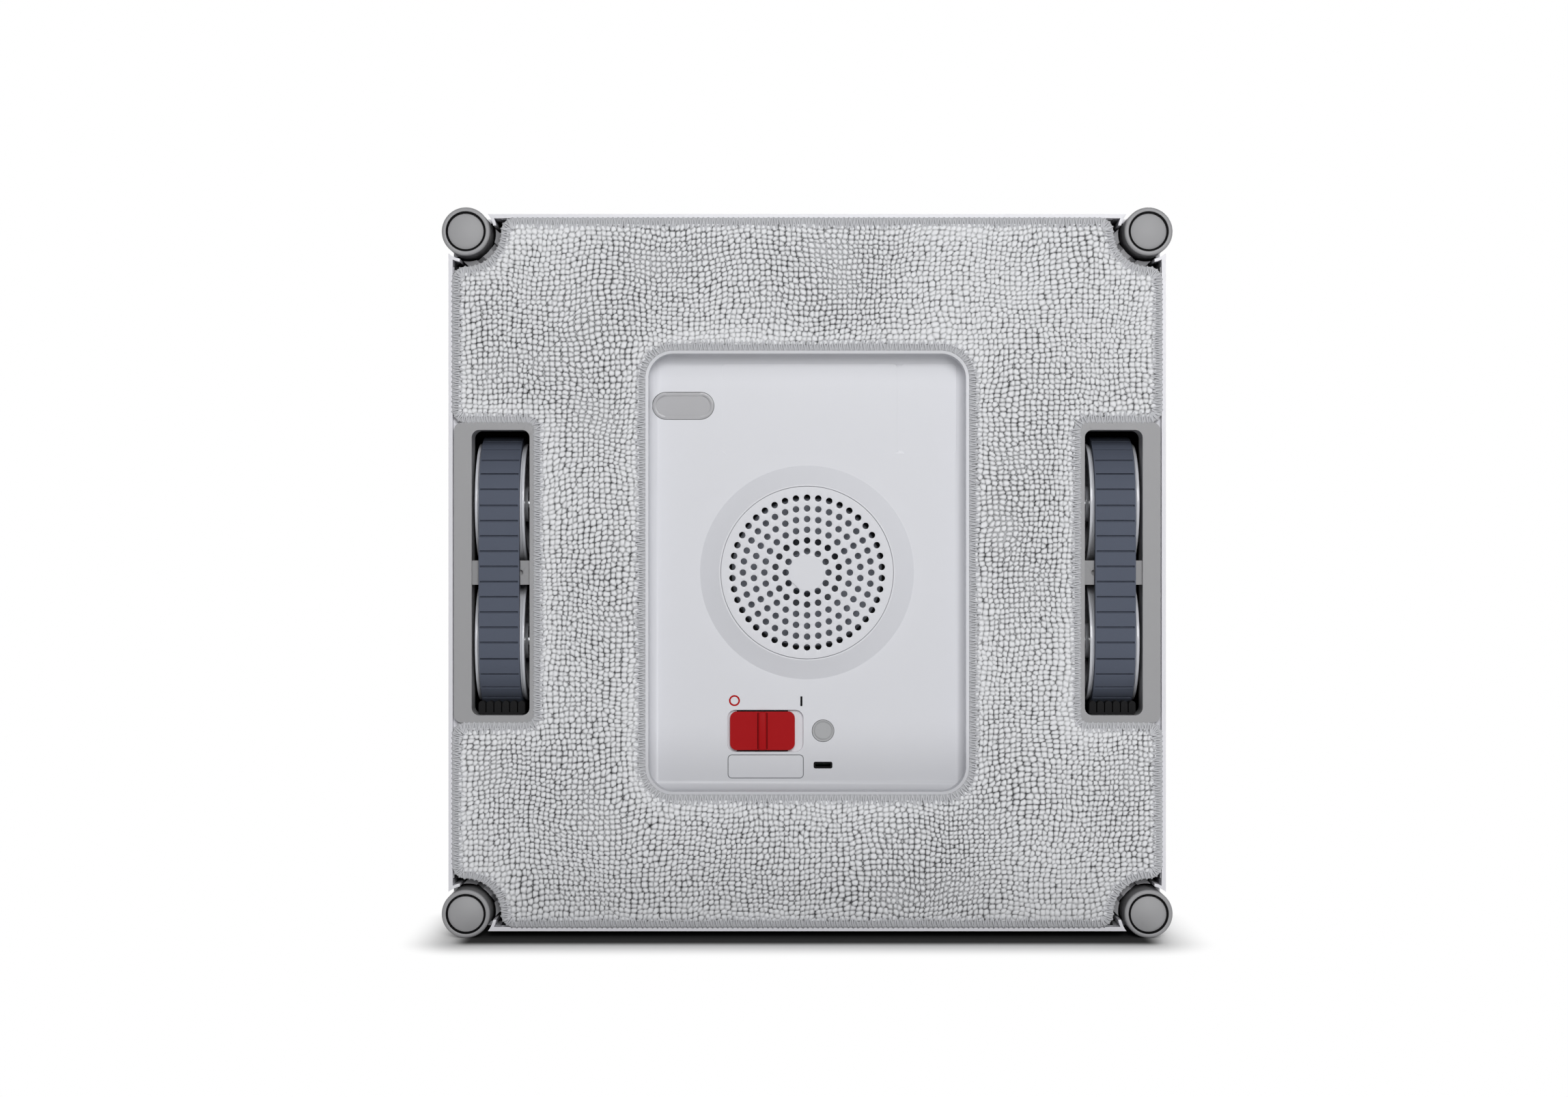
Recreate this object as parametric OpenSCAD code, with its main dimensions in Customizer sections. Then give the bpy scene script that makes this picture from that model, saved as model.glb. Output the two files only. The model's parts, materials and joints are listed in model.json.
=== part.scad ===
// Window cleaning robot, standing on edge as it does on the glass.
// +Z is up, the working side faces -Y, and the origin is under its middle.
// Pieces are drawn in a face frame: x to the right, y up, and z out of the
// glass towards whoever looks at the working side. Depths count backwards
// from the glass plane at z = 0.

/* [Base housing] */
// Width and height of the square base housing
base_w = 240.4; // [236:0.2:242]
// Wall of the base housing
base_wall = 1.4; // [1.2:0.1:1.8]
// Corner radius of the housing behind the rollers
base_corner_r = 9; // [7:0.5:9.5]
// Depth of the housing rim
rim_depth = 1.6; // [1:0.1:2.4]
// Thickness of the front plate that carries the pad
plate_t = 2.2; // [1.8:0.1:3]
// Depth of the seam between base housing and back cover
seam_depth = 50; // [49:1:60]

/* [Back cover] */
// Amount that the back cover stands proud of the base housing all round
cover_lip = 1.2; // [0.6:0.1:1.8]
// Wall of the back cover
cover_wall = 2.4; // [2:0.1:3]
// Radius of the soft edge round the back
cover_edge_r = 10; // [5:0.5:14]
// Depth of the back cover's flat back
cover_depth = 84; // [82:1:90]
// Exhaust slots in each of the two groups
vent_count = 7; // [4:1:7]
// Width of one exhaust slot
vent_w = 3; // [2:0.1:4]
// Length of one exhaust slot
vent_l = 32; // [20:1:36]
// Distance from slot to slot
vent_pitch = 7; // [6:0.5:7]
// Distance of each group's middle from the centre line
vent_x = 52; // [48:1:54]
// Distance of the groups below the middle
vent_y = 72; // [68:1:76]

/* [Handle] */
// Length of the carry handle
handle_l = 132; // [124:1:150]
// Width of the carry handle
handle_w = 30; // [24:1:36]
// Thickness of the handle's bar
handle_t = 9; // [7:0.5:11]
// Height of the handle's top above the back cover
handle_rise = 20; // [18:0.5:24]
// Length of one handle foot
handle_foot_l = 15; // [12:1:18]
// Length of the finger scoop under the handle
scoop_l = 96; // [80:1:100]
// Height of the finger scoop
scoop_w = 72; // [60:1:76]
// How far the finger scoop sinks into the back
scoop_sink = 11; // [8:1:12]
// Corner radius of the finger scoop
scoop_r = 20; // [12:1:26]

/* [Corner rollers] */
// Amount that the rollers stand proud of the housing on each side
roller_proud = 2.3; // [1.8:0.1:3]
// Radius of a roller
roller_r = 8.1; // [7.6:0.1:8.4]
// Length of a roller
roller_l = 15.6; // [14:0.2:18]
// Depth of a roller's front end
roller_depth = 1.2; // [0.8:0.1:2]
// Radius of the steel pin that a roller turns on
roller_pin_r = 2; // [1.5:0.1:2.2]
// Radius of the domed cap in a roller's end
roller_cap_r = 6; // [5:0.1:6.2]
// Radius of the hollow that the cap sits in
cap_hollow_r = 6.65; // [6.4:0.05:7]
// Height of the cap's dome
cap_rise = 1; // [0.5:0.1:1.4]
// Radius of the cut in the housing round a roller
recess_r = 9.4; // [8.9:0.1:10]

/* [Cleaning pad] */
// Border of the housing that shows round the cleaning pad
pad_border = 1.7; // [1.6:0.1:3]
// Thickness of the pad
pad_t = 3.6; // [3:0.1:5]
// Thickness of the hook strips that hold the pad
hook_t = 0.4; // [0.3:0.1:0.8]
// Width of a hook strip
hook_w = 16; // [10:1:18]
// Gap between a roller and the pad's corner notch
pad_roller_gap = 4.15; // [3.5:0.05:5]
// Radius of the pad's outer corners
pad_corner_r = 4; // [3:0.5:5]
// Radius of the inner corners of the pad's side notches
pad_notch_r = 2.75; // [2:0.25:4]

/* [Centre tray] */
// Outside width of the centre tray
tray_w = 108.4; // [104:0.2:110]
// Outside height of the centre tray
tray_h = 148.8; // [146:0.2:152]
// Wall of the tray
tray_wall = 1; // [0.8:0.1:1.4]
// Outside corner radius of the tray
tray_corner_r = 9.3; // [8:0.1:12]
// Depth of the tray's rim
tray_rim_depth = 0.8; // [0.4:0.1:1.2]
// Depth of the tray's floor
tray_depth = 9; // [8:0.1:10]
// Thickness of the tray's floor
tray_floor_t = 1.6; // [1.4:0.1:2]
// Radius between the tray's walls and floor
tray_fillet_r = 3.5; // [2:0.5:5]

/* [Intake grille] */
// Foot radius of the raised cone
cone_r = 36.1; // [35:0.1:38]
// Height of the cone above the tray's floor
cone_rise = 3.5; // [2.5:0.1:4.5]
// Radius of the perforated disc
grille_r = 29; // [28:0.1:30]
// Thickness of the perforated disc
grille_t = 1.2; // [1:0.1:1.5]
// Radius of one hole
grille_hole_r = 1.075; // [0.8:0.025:1.3]
// Distance between rings of holes
grille_pitch = 3.6; // [3.4:0.05:3.7]

/* [Fan] */
// Radius of the rotor
rotor_r = 38; // [34:1:39]
// Radius of the rotor's raised intake neck
neck_r = 25; // [24:0.1:25.5]
// Radius of the eye in the rotor
eye_r = 12.5; // [11:0.1:13]
// Number of rotor blades
blade_count = 9; // [7:1:12]
// Thickness of one blade
blade_t = 1.4; // [1:0.1:2]
// Length of the blades along the shaft
blade_l = 13; // [10:0.5:14]
// Outside radius of the scroll casing
casing_r = 44; // [43.5:0.1:45]
// Wall of the scroll casing
casing_wall = 2; // [1.5:0.1:2.5]
// Radius of the fan motor
fan_motor_r = 18; // [15:0.5:22]
// Length of the fan motor
fan_motor_l = 22; // [18:1:28]
// Radius of the fan shaft
fan_shaft_r = 2.5; // [2:0.1:3]

/* [Tracks] */
// Distance of a well's middle from the housing's side
well_border = 17.5; // [17.3:0.1:18]
// Width of a well's opening
well_w = 19.4; // [19:0.1:19.8]
// Height of a well's opening
well_h = 95.7; // [95:0.1:97]
// Corner radius of a well's opening
well_r = 2.6; // [2:0.1:4]
// Depth of the bezel's face
bezel_depth = 1.2; // [0.6:0.1:1.6]
// Thickness of the bezel's plate
bezel_t = 2; // [1.5:0.1:2.4]
// Width of the bezel beside the centre tray
bezel_inner_border = 1.4; // [1.2:0.1:1.8]
// Width of the bezel above and below a well
bezel_end_border = 2.45; // [2:0.05:3]
// Length of the bezel's skirt inside a well
bezel_skirt_l = 9; // [6:0.5:12]
// Distance of a tread outward of its well's middle
tread_shift = 0.5; // [0.2:0.1:0.6]
// Width of a tread
tread_w = 13.6; // [13:0.1:13.8]
// Setback of a tread's face behind the glass
tread_depth = 0.2; // [0:0.1:0.5]
// Radius round which the teeth keep their pitch
pitch_r = 20.8; // [20.4:0.1:21]
// Height of a tread's face above that radius
tread_cover = 2; // [1.8:0.1:2.2]
// Depth of a tread's cross grooves
groove_l = 1; // [0.5:0.1:1.2]
// Width of a tread's cross grooves
groove_w = 0.6; // [0.4:0.1:0.8]
// Number of cross grooves round a tread
groove_count = 44; // [40:1:48]
// Belt lugs that lie round one full turn of a track wheel
wheel_lugs = 28; // [28:4:28]
// Tooth spaces in one straight run between the wheels
run_lugs = 10; // [10:1:10]
// Height of the lugs inside the belt
lug_h = 1.3; // [1:0.1:1.4]
// Radius of the wheel shafts
shaft_r = 3; // [2.5:0.1:3.5]
// Wall of the track housing
track_wall = 1.4; // [1.2:0.1:1.8]
// Depth of the track housing's floor
track_back = 48; // [47.6:0.2:48.6]
// Height of the bridge in the middle of a well
bridge_h = 8.1; // [7:0.1:8.6]
// Fingers of the scraper at the lower end of a well
finger_count = 6; // [4:1:6]
// Distance from finger to finger
finger_pitch = 2.65; // [2.4:0.05:2.7]

/* [Gear train] */
// Module of the gears
gear_module = 0.8; // [0.8:0.1:0.8]
// Teeth of the drive gear
drive_teeth = 36; // [36:1:36]
// Teeth of the motor pinion
pinion_teeth = 12; // [12:1:12]
// Width of the gears
gear_w = 6; // [5:0.5:6.5]
// Radius of the gearbox
gearbox_r = 12; // [11:0.5:12.5]
// Radius of the motor behind the gearbox
motor_r = 11; // [9:0.5:11.5]

/* [Controls in the tray] */
// Width of the switch recess
switch_w = 25.7; // [24:0.1:27]
// Height of the switch recess
switch_h = 14.2; // [13:0.1:15]
// Place of the switch recess from the middle, sideways
switch_x = -14.05; // [-15:0.05:-13]
// Place of the switch recess from the middle, downwards
switch_y = 53.5; // [53:0.1:54]
// Length of the slider
slider_w = 21.9; // [20:0.1:22.5]
// Travel of the slider
slider_travel = 2; // [1.5:0.1:2.5]
// Width of the slider's finger rib
slider_rib_w = 2.75; // [2:0.05:3.5]
// Radius of the round button
button_r = 3.8; // [3:0.1:4.2]
// Place of the round button, sideways
button_x = 5.4; // [5:0.1:6]
// Width of the service port
port_w = 6.35; // [5.5:0.05:7]
// Height of the service port
port_h = 2.3; // [2:0.1:3]
// Place of the service port from the middle, downwards
port_y = 65.1; // [64.5:0.1:65.5]
// Width of the sensor window
window_w = 21; // [18:0.1:21]
// Height of the sensor window
window_h = 9.4; // [8:0.1:10]
// Place of the sensor window, left of the middle
window_x = 41.8; // [41:0.1:42]
// Place of the sensor window, above the middle
window_y = 56.3; // [54:0.1:58]

/* [Hidden] */
$fn = 96;

// Clearances and the one overrun of all cuts
fit_gap = 0.02;
run_gap = 0.05;
seat_gap = 0.15;
soft_gap = 0.3;
cut_past = 1;

// Base housing and front plate
base_in_w = base_w - 2 * base_wall;
pad_w = base_w - 2 * pad_border;
plate_depth = pad_t + hook_t;
plate_back = plate_depth + plate_t;
flange_t = 1.6;
flange_w = 2.5;

// Corner rollers and what surrounds them
roller_span = base_w + 2 * roller_proud;
roller_place = roller_span / 2 - roller_r;
roller_bore_r = roller_pin_r + run_gap;
roller_back = roller_depth + roller_l;
roller_chamfer = 0.5;
cap_proud_share = 0.4;
cap_depth = roller_depth - cap_proud_share * cap_rise;
cap_hollow_l = 4;
cap_back = roller_depth + cap_hollow_l - 2 * seat_gap;
pin_depth = roller_depth + cap_hollow_l / 2;
pin_hold_l = 8;
pocket_r = roller_r + pad_roller_gap + soft_gap;
pocket_wall = 1.2;
pocket_depth = roller_back + 2 * seat_gap;
pocket_floor_t = 2;
pocket_back = pocket_depth + pocket_floor_t;
lip_t = 1;
lip_w = 2.4;
bracket_crest = 7;
bracket_shoulder = 8.5;
bracket_valley = 10.5;
bracket_crest_w = 3.6;
bracket_valley_w = 8.4;
bracket_w = 15.4;

// Back cover
cover_w = base_w + 2 * cover_lip;
cover_corner_r = base_corner_r + cover_lip;
cover_inner_back = cover_depth - cover_wall;
screw_border = [40.2, 32.2];
screw_x = base_w / 2 - screw_border[0];
screw_y = base_w / 2 - screw_border[1];
screw_r = 1.5;
screw_head_r = 2.8;
screw_head_t = 2;
screw_grip_t = 8;
screw_bite_l = 10;
post_r = 4.4;
fitting_border = [58.2, 40.2];
start_y = base_w / 2 - fitting_border[1];
start_r = 12;
start_rise = 0.9;
start_travel = 1;
start_flange_w = 1.5;
start_flange_t = 1.4;
start_board_gap = 5;
start_board = [40, 16];
start_key = [6, 6];
ring_w = 3.4;
ring_sink = 1;
ring_rise = 0.25;
fitting_x = base_w / 2 - fitting_border[0];
fitting_y = base_w / 2 - fitting_border[1];
eyelet_r = 4;
eyelet_wall = 3.2;
eyelet_t = 5;
eyelet_foot = [22, 16, 3];
eyelet_foot_r = 3;
inlet_r = 4;
inlet_l = 10;
inlet_body_r = 7.5;
inlet_flange_r = 9.5;
inlet_flange_t = 2.6;

// Handle
handle_depth = cover_depth + handle_rise;
handle_edge_r = 6;
handle_end_r = 12;
handle_gap_r = 8;

// Tray
tray_back = tray_depth + tray_floor_t;
tray_in_w = tray_w - 2 * tray_wall;
tray_in_h = tray_h - 2 * tray_wall;
blank_sink = 0.15;
blank_h = 30.3;
blank_y = 55.35;
blank_w = [59.1, 18.6];
blank_x = [0.95, 41.1];
blank_r = 1.2;

// Intake and fan
cone_top = tray_depth - cone_rise;
cone_land = 0.5;
grille_first_ring = 2;
grille_last_ring = 7;
grille_back = cone_top + grille_t;
grille_seat_w = 1.2;
seal_wall = 3;
seal_r = cone_r - 0.5 * seal_wall;
seal_t = 1.9;
casing_front = tray_back + seal_t;
casing_plate_t = 1.5;
neck_gap = 0.5;
neck_depth = casing_front + neck_gap;
rotor_gap = 1;
shroud_t = 1.2;
shroud_depth = casing_front + casing_plate_t + rotor_gap;
blade_front = shroud_depth + shroud_t;
blade_back = blade_front + blade_l;
rotor_back = blade_back + shroud_t;
hub_r = 7;
blade_sweep_share = 0.94;
blade_sweep_r = blade_sweep_share * (rotor_r - eye_r);
blade_sweep_angle = 60;
casing_back = rotor_back + rotor_gap + casing_wall;
duct_w = 24;
duct_l = 58;
motor_shaft_l = 12;

// Track geometry
wheel_gap = run_lugs * 2 * PI * pitch_r / wheel_lugs;
belt_l = 2 * wheel_gap + 2 * PI * pitch_r;
belt_lugs = 2 * run_lugs + wheel_lugs;
groove_shift_share = 0.4;
tread_r = pitch_r + tread_cover;
tread_back = 0.6;
tread_in_r = pitch_r - tread_back;
tread_edge = 0.45;
lug_base_w = 1.9;
lug_tip_w = 1.3;
lug_root = 0.1;
wheel_depth = tread_depth + tread_r;
wheel_r = tread_in_r - lug_root;
lug_w = 4.4;
lug_gap = 0.3;
lug_groove_r = wheel_r - lug_h - lug_gap;
well_x = base_w / 2 - well_border;
tread_x = well_x + tread_shift;
wheel_side_gap = 0.5;
rim_t = 1;
rim_rise = 0.55;
rim_r = wheel_r + rim_rise;
wheel_in_x = tread_x - tread_w / 2 - wheel_side_gap;
wheel_out_x = tread_x + tread_w / 2 + wheel_side_gap;
web_sink = 3;
web_border = 3.4;
web_r = wheel_r - web_border;
wheel_hub_r = 6;
spoke_hole_r = 3.2;
spoke_count = 6;
skirt_t = 0.6;
housing_gap = 0.2;
housing_w = well_w + 2 * (skirt_t + housing_gap);
housing_h = well_h + 2 * (skirt_t + housing_gap);
housing_in_x = well_x - housing_w / 2;
housing_out_x = well_x + housing_w / 2;
housing_front = bezel_depth + bezel_t;
bezel_edge_gap = 0.5;
bezel_in_x = well_x - well_w / 2 - bezel_inner_border;
bezel_out_x = base_in_w / 2 - bezel_edge_gap;
bezel_h = well_h + 2 * bezel_end_border;
bush_wall = 2;
bush_proud = 2;
bush_l = track_wall + bush_proud;
bush_boss_wall = 2;
bridge_gap = 0.4;
bridge_depth = wheel_depth - tread_in_r + lug_h + bridge_gap;
bridge_ear_depth = 2.6;
bridge_back = 11.4;
bridge_notch_r = 1;
finger_w = 2.3;
finger_depth = 5;
finger_back = 10;
finger_l = 4.25;
scraper_foot_t = 0.8;

// Gear train
gear_gap = 0.8;
gear_x = housing_in_x - bush_l - gear_gap - gear_w;
drive_gear_r = gear_module * drive_teeth / 2;
pinion_r = gear_module * pinion_teeth / 2;
gear_backlash = 0.05;
gear_tooth_shares = [[-0.3, -1.2], [-0.245, -0.5], [-0.12, 1], [0.12, 1], [0.245, -0.5], [0.3, -1.2]];
motor_angle = 45;
motor_y = wheel_gap / 2 + (drive_gear_r + pinion_r + gear_backlash) * cos(motor_angle);
motor_depth = wheel_depth + (drive_gear_r + pinion_r + gear_backlash) * sin(motor_angle);
pinion_shaft_r = 1.5;
pinion_shaft_l = 7;
gearbox_gap = 1;
gearbox_l = 19;
motor_l = 21;
cradle_t = 2;
cradle_w = 2 * gearbox_r + cradle_t;
cradle_inset = 3;

// Controls
switch_r = 2.8;
slider_gap = 0.6;
slider_end_gap = 0.9;
slider_shift = slider_end_gap + slider_w / 2 - switch_w / 2;
slider_h = switch_h - 2 * slider_gap;
slider_r = 2.3;
slider_rise = 0.3;
slider_rib_rise = 0.9;
slider_t = 1.8;
slider_stem = [6, 4];
slider_stem_l = 3;
switch_body_t = 8;
switch_body_margin = 1.5;
board_depth = tray_back + switch_body_t;
board_t = 1.6;
button_ring_r = 3;
button_groove = 0.4;
button_rise = 0.2;
button_l = 4;
button_flange_w = 0.6;
button_travel = 0.8;
button_key = [6, 6];
port_r = 0.6;
port_wall = 0.6;
window_frame_w = 1.3;
window_frame_rise = 0.3;
window_depth = tray_depth + seat_gap;
sensor_board_size = [24, 12];
main_board_size = [96, 34];
board_y = 96;
board_stand_l = 7;
stand_r = 2.5;
chip_t = 2.2;
battery_size = [92, 32];
battery_t = 19;
battery_y = 96;
battery_r = 2;
start_board_depth = cover_inner_back - start_flange_t - start_travel - start_board_gap;

// Helpers

// Puts the face frame into the standing part
module place() translate([0, -handle_depth / 2, roller_span / 2]) rotate([90, 0, 0]) children();

// A flat outline between two depths behind the glass
module slab(front, back) translate([0, 0, -back]) linear_extrude(back - front) children();

// An outline in the (y, z) plane, drawn across from one x to another
module across(x_from, x_to)
  translate([x_from, 0, 0]) rotate([90, 0, 90]) linear_extrude(x_to - x_from) children();

// A rectangle about the origin with round corners
module rounded(w, h, r) {
  square([w, h - 2 * r], center = true);
  square([w - 2 * r, h], center = true);
  for (sx = [-1, 1], sy = [-1, 1])
    translate([sx * (w / 2 - r), sy * (h / 2 - r)]) circle(r);
}

// The same, closed to a ring by a wall inside
module rounded_ring(w, h, r, wall) difference() {
  rounded(w, h, r);
  rounded(w - 2 * wall, h - 2 * wall, r - wall);
}

// A rectangle with half round ends to its left and right
module pill(w, h) {
  square([w - h, h], center = true);
  for (s = [-1, 1]) translate([s * (w - h) / 2, 0]) circle(h / 2);
}

// A block with round corners whose four back edges are round as well
module soft_block(w, h, front, back, corner, edge) intersection() {
  slab(front, back) rounded(w, h, corner);
  across(-w, w) soft_profile(h, front, back, edge);
  rotate(90) across(-h, h) soft_profile(w, front, back, edge);
}

// A side view with a flat front and a back whose two edges are round
module soft_profile(w, front, back, edge) {
  translate([-w / 2, edge - back]) square([w, back - front - edge]);
  translate([edge - w / 2, -back]) square([w - 2 * edge, back - front]);
  for (s = [-1, 1]) translate([s * (w / 2 - edge), edge - back]) circle(edge);
}

// The four roller places, from the top right round to the bottom right
module corner(turn) rotate(90 * turn) translate([roller_place, roller_place, 0]) children();
module corners() for (turn = [0:3]) corner(turn) children();

// The right side as drawn, and the left as its mirror image
module mirrored() mirror([1, 0, 0]) children();
module both() {
  children();
  mirrored() children();
}

// The screw places in the four quarters
module screw_places() for (sx = [-1, 1], sy = [-1, 1])
  translate([sx * screw_x, sy * screw_y, 0]) children();

// Base housing

module inner_outline(gap = 0)
  rounded(base_in_w - 2 * gap, base_in_w - 2 * gap, base_corner_r - base_wall - gap);

// The small guard lips that turn in from the wall ends beside a roller
module guard_lips() intersection() {
  difference() {
    circle(recess_r + lip_t);
    circle(recess_r);
  }
  inner = base_in_w / 2 - roller_place;
  union() {
    translate([-2 * recess_r, inner - lip_w]) square([2 * recess_r, lip_w + base_wall / 2]);
    translate([inner - lip_w, -2 * recess_r]) square([lip_w + base_wall / 2, 2 * recess_r]);
  }
}

// A saddle that holds one gearbox against the front plate
module motor_cradle(x) across(x, x + cradle_t) difference() {
  translate([-motor_y - cradle_w / 2, -motor_depth])
    square([cradle_w, motor_depth - plate_back + plate_t / 2]);
  translate([-motor_y, -motor_depth]) circle(gearbox_r + fit_gap);
}

module base_shell() place() color([0.83, 0.83, 0.85]) {
  difference() {
    union() {
      slab(rim_depth, seam_depth) rounded_ring(base_w, base_w, base_corner_r, base_wall);
      slab(plate_depth, plate_back)
        rounded(base_w - base_wall, base_w - base_wall, base_corner_r - base_wall / 2);
      screw_places() slab(plate_depth + plate_t / 2, seam_depth) circle(post_r);
      both() {
        motor_cradle(gear_x - gearbox_gap - cradle_inset - cradle_t);
        motor_cradle(gear_x - gearbox_gap - gearbox_l + cradle_inset);
      }
      for (sx = [-1, 1], sy = [-1, 1])
        translate([
          sx * (main_board_size[0] / 2 - stand_r), sy * (main_board_size[1] / 2 - stand_r) - board_y, 0
        ])
          slab(plate_depth + plate_t / 2, plate_back + board_stand_l) circle(stand_r);
    }
    corners() slab(-cut_past, pocket_depth) circle(recess_r);
    slab(plate_depth - cut_past, plate_back + cut_past) {
      intersection() {
        corners() circle(pocket_r);
        inner_outline();
      }
      rounded(tray_w + 2 * seat_gap, tray_h + 2 * seat_gap, tray_corner_r + seat_gap);
      both() translate([well_x, 0])
        square([housing_w, housing_h] + 2 * (track_wall + seat_gap) * [1, 1], center = true);
    }
    screw_places() {
      slab(-cut_past, seam_depth - screw_grip_t) circle(screw_head_r + seat_gap);
      slab(-cut_past, seam_depth + cut_past) circle(screw_r + seat_gap);
    }
  }
  corners() slab(rim_depth, pocket_depth) guard_lips();
}

module roller_pockets() place() color([0.05, 0.05, 0.06]) difference() {
  slab(plate_back, pocket_back + pin_hold_l) inner_outline(seat_gap);
  slab(pocket_back, pocket_back + pin_hold_l + cut_past) difference() {
    square(base_w, center = true);
    corners() circle(2 * roller_pin_r);
  }
  slab(plate_back - cut_past, pocket_back + cut_past) difference() {
    square(base_w, center = true);
    corners() circle(pocket_r + pocket_wall);
  }
  corners() {
    slab(plate_back - cut_past, pocket_depth) circle(pocket_r);
    slab(pocket_depth - cut_past, pocket_back + pin_hold_l + cut_past) circle(roller_pin_r + fit_gap);
  }
}

// Stepped seat beside each roller: a crest, two slopes and two flat shoulders
module corner_brackets() place() color([0.6, 0.6, 0.61]) corners() rotate(225) intersection() {
  slab(bracket_crest, pocket_depth) difference() {
    circle(pocket_r - seat_gap);
    circle(recess_r);
  }
  across(0, pocket_r) polygon([
    [-bracket_w / 2, -pocket_depth], [-bracket_w / 2, -bracket_shoulder],
    [-bracket_valley_w / 2, -bracket_shoulder], [-bracket_valley_w / 2, -bracket_valley],
    [-bracket_crest_w / 2, -bracket_crest], [bracket_crest_w / 2, -bracket_crest],
    [bracket_valley_w / 2, -bracket_valley], [bracket_valley_w / 2, -bracket_shoulder],
    [bracket_w / 2, -bracket_shoulder], [bracket_w / 2, -pocket_depth]
  ]);
}

// Corner rollers

module roller() rotate_extrude() polygon([
  [roller_bore_r, -roller_back],
  [roller_r - roller_chamfer, -roller_back],
  [roller_r, roller_chamfer - roller_back],
  [roller_r, -roller_depth - roller_chamfer],
  [roller_r - roller_chamfer, -roller_depth],
  [cap_hollow_r, -roller_depth],
  [cap_hollow_r, -roller_depth - cap_hollow_l],
  [roller_bore_r, -roller_depth - cap_hollow_l]
]);

module top_right_roller() place() color([0.79, 0.79, 0.8]) corner(0) roller();
module top_left_roller() place() color([0.79, 0.79, 0.8]) corner(1) roller();
module bottom_left_roller() place() color([0.79, 0.79, 0.8]) corner(2) roller();
module bottom_right_roller() place() color([0.79, 0.79, 0.8]) corner(3) roller();

module roller_caps() place() color([0.8, 0.8, 0.81]) corners() difference() {
  dome_r = (pow(roller_cap_r, 2) + pow(cap_rise, 2)) / (2 * cap_rise);
  intersection() {
    slab(cap_depth - cut_past, cap_back) circle(roller_cap_r);
    translate([0, 0, -cap_depth - dome_r]) sphere(dome_r);
  }
  slab(pin_depth - fit_gap, cap_back + cut_past) circle(roller_pin_r + fit_gap);
}

module roller_pins() place() color([0.7, 0.71, 0.73]) corners()
  slab(pin_depth, pocket_back + pin_hold_l) circle(roller_pin_r);

// Cleaning pad and its hook strips

// What one roller takes out of the pad's corner, with the blends beside it
module pad_corner_cut() {
  notch_r = roller_r + pad_roller_gap;
  low = pad_w / 2 - pad_corner_r - roller_place;
  far = sqrt(pow(notch_r + pad_corner_r, 2) - pow(low, 2));
  difference() {
    union() {
      circle(notch_r);
      translate([-far, low]) square(2 * notch_r);
      translate([low, -far]) square(2 * notch_r);
    }
    translate([-far, low]) circle(pad_corner_r);
    translate([low, -far]) circle(pad_corner_r);
  }
}

// What one track bezel takes out of the pad's side
module pad_side_cut() {
  near = bezel_in_x - soft_gap;
  half_h = bezel_h / 2 + soft_gap;
  translate([near, pad_notch_r - half_h]) square([pad_w, 2 * (half_h - pad_notch_r)]);
  translate([near + pad_notch_r, -half_h]) square([pad_w, 2 * half_h]);
  for (s = [0, 1]) mirror([0, s]) {
    translate([near + pad_notch_r, half_h - pad_notch_r]) circle(pad_notch_r);
    translate([pad_w / 2 - pad_corner_r, half_h]) difference() {
      square([2 * pad_corner_r, pad_corner_r]);
      translate([0, pad_corner_r]) circle(pad_corner_r);
    }
  }
}

module cleaning_pad() place() color([0.84, 0.84, 0.85]) slab(0, pad_t) difference() {
  square(pad_w, center = true);
  corners() pad_corner_cut();
  both() pad_side_cut();
  rounded(tray_w + 2 * soft_gap, tray_h + 2 * soft_gap, tray_corner_r + soft_gap);
}

// Hook strips on the front plate: above, below and beside the tray, and at the bezels' ends
module hook_strips() place() color([0.2, 0.2, 0.21]) slab(pad_t, plate_depth) {
  for (s = [-1, 1]) {
    translate([0, s * (tray_h + pad_w) / 4]) square([tray_w, hook_w], center = true);
    translate([s * (tray_w / 2 + bezel_in_x) / 2, 0]) square([hook_w, bezel_h], center = true);
    both() translate([bezel_in_x, s * (bezel_h / 2 + hook_w)]) square(hook_w, center = true);
  }
}

// Centre tray and intake

module at_switch() translate([switch_x, -switch_y, 0]) children();
module at_button() translate([button_x, -switch_y, 0]) children();
module at_port() translate([button_x, -port_y, 0]) children();
module at_window() translate([-window_x, window_y, 0]) children();

// The cone's wall, with the ledge that the grille drops on
module intake_cone() rotate_extrude() polygon([
  [cone_r, -tray_back],
  [cone_r, -tray_depth],
  [grille_r + seat_gap + cone_land, -cone_top],
  [grille_r + seat_gap, -cone_top],
  [grille_r + seat_gap, -grille_back],
  [grille_r - grille_seat_w, -grille_back],
  [grille_r - grille_seat_w, -tray_back]
]);

module centre_tray() place() color([0.84, 0.84, 0.86]) difference() {
  union() {
    difference() {
      union() {
        soft_block(tray_w, tray_h, tray_rim_depth, tray_back, tray_corner_r, tray_fillet_r + tray_wall);
        slab(plate_back, plate_back + flange_t)
          rounded(tray_w + 2 * flange_w, tray_h + 2 * flange_w, tray_corner_r + flange_w);
      }
      soft_block(
        tray_in_w, tray_in_h, tray_rim_depth - cut_past, tray_depth, tray_corner_r - tray_wall, tray_fillet_r
      );
    }
    intake_cone();
  }
  slab(cone_top, tray_back + cut_past) circle(grille_r - grille_seat_w);
  for (i = [0, 1])
    translate([blank_x[i], blank_y, 0])
      slab(tray_depth - cut_past, tray_depth + blank_sink) rounded(blank_w[i], blank_h, blank_r);
  slab(tray_depth - cut_past, tray_back + cut_past) {
    at_switch() rounded(switch_w, switch_h, switch_r);
    at_button() circle(button_r);
    at_port() rounded(port_w, port_h, port_r);
    at_window() pill(window_w, window_h);
  }
}

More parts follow.
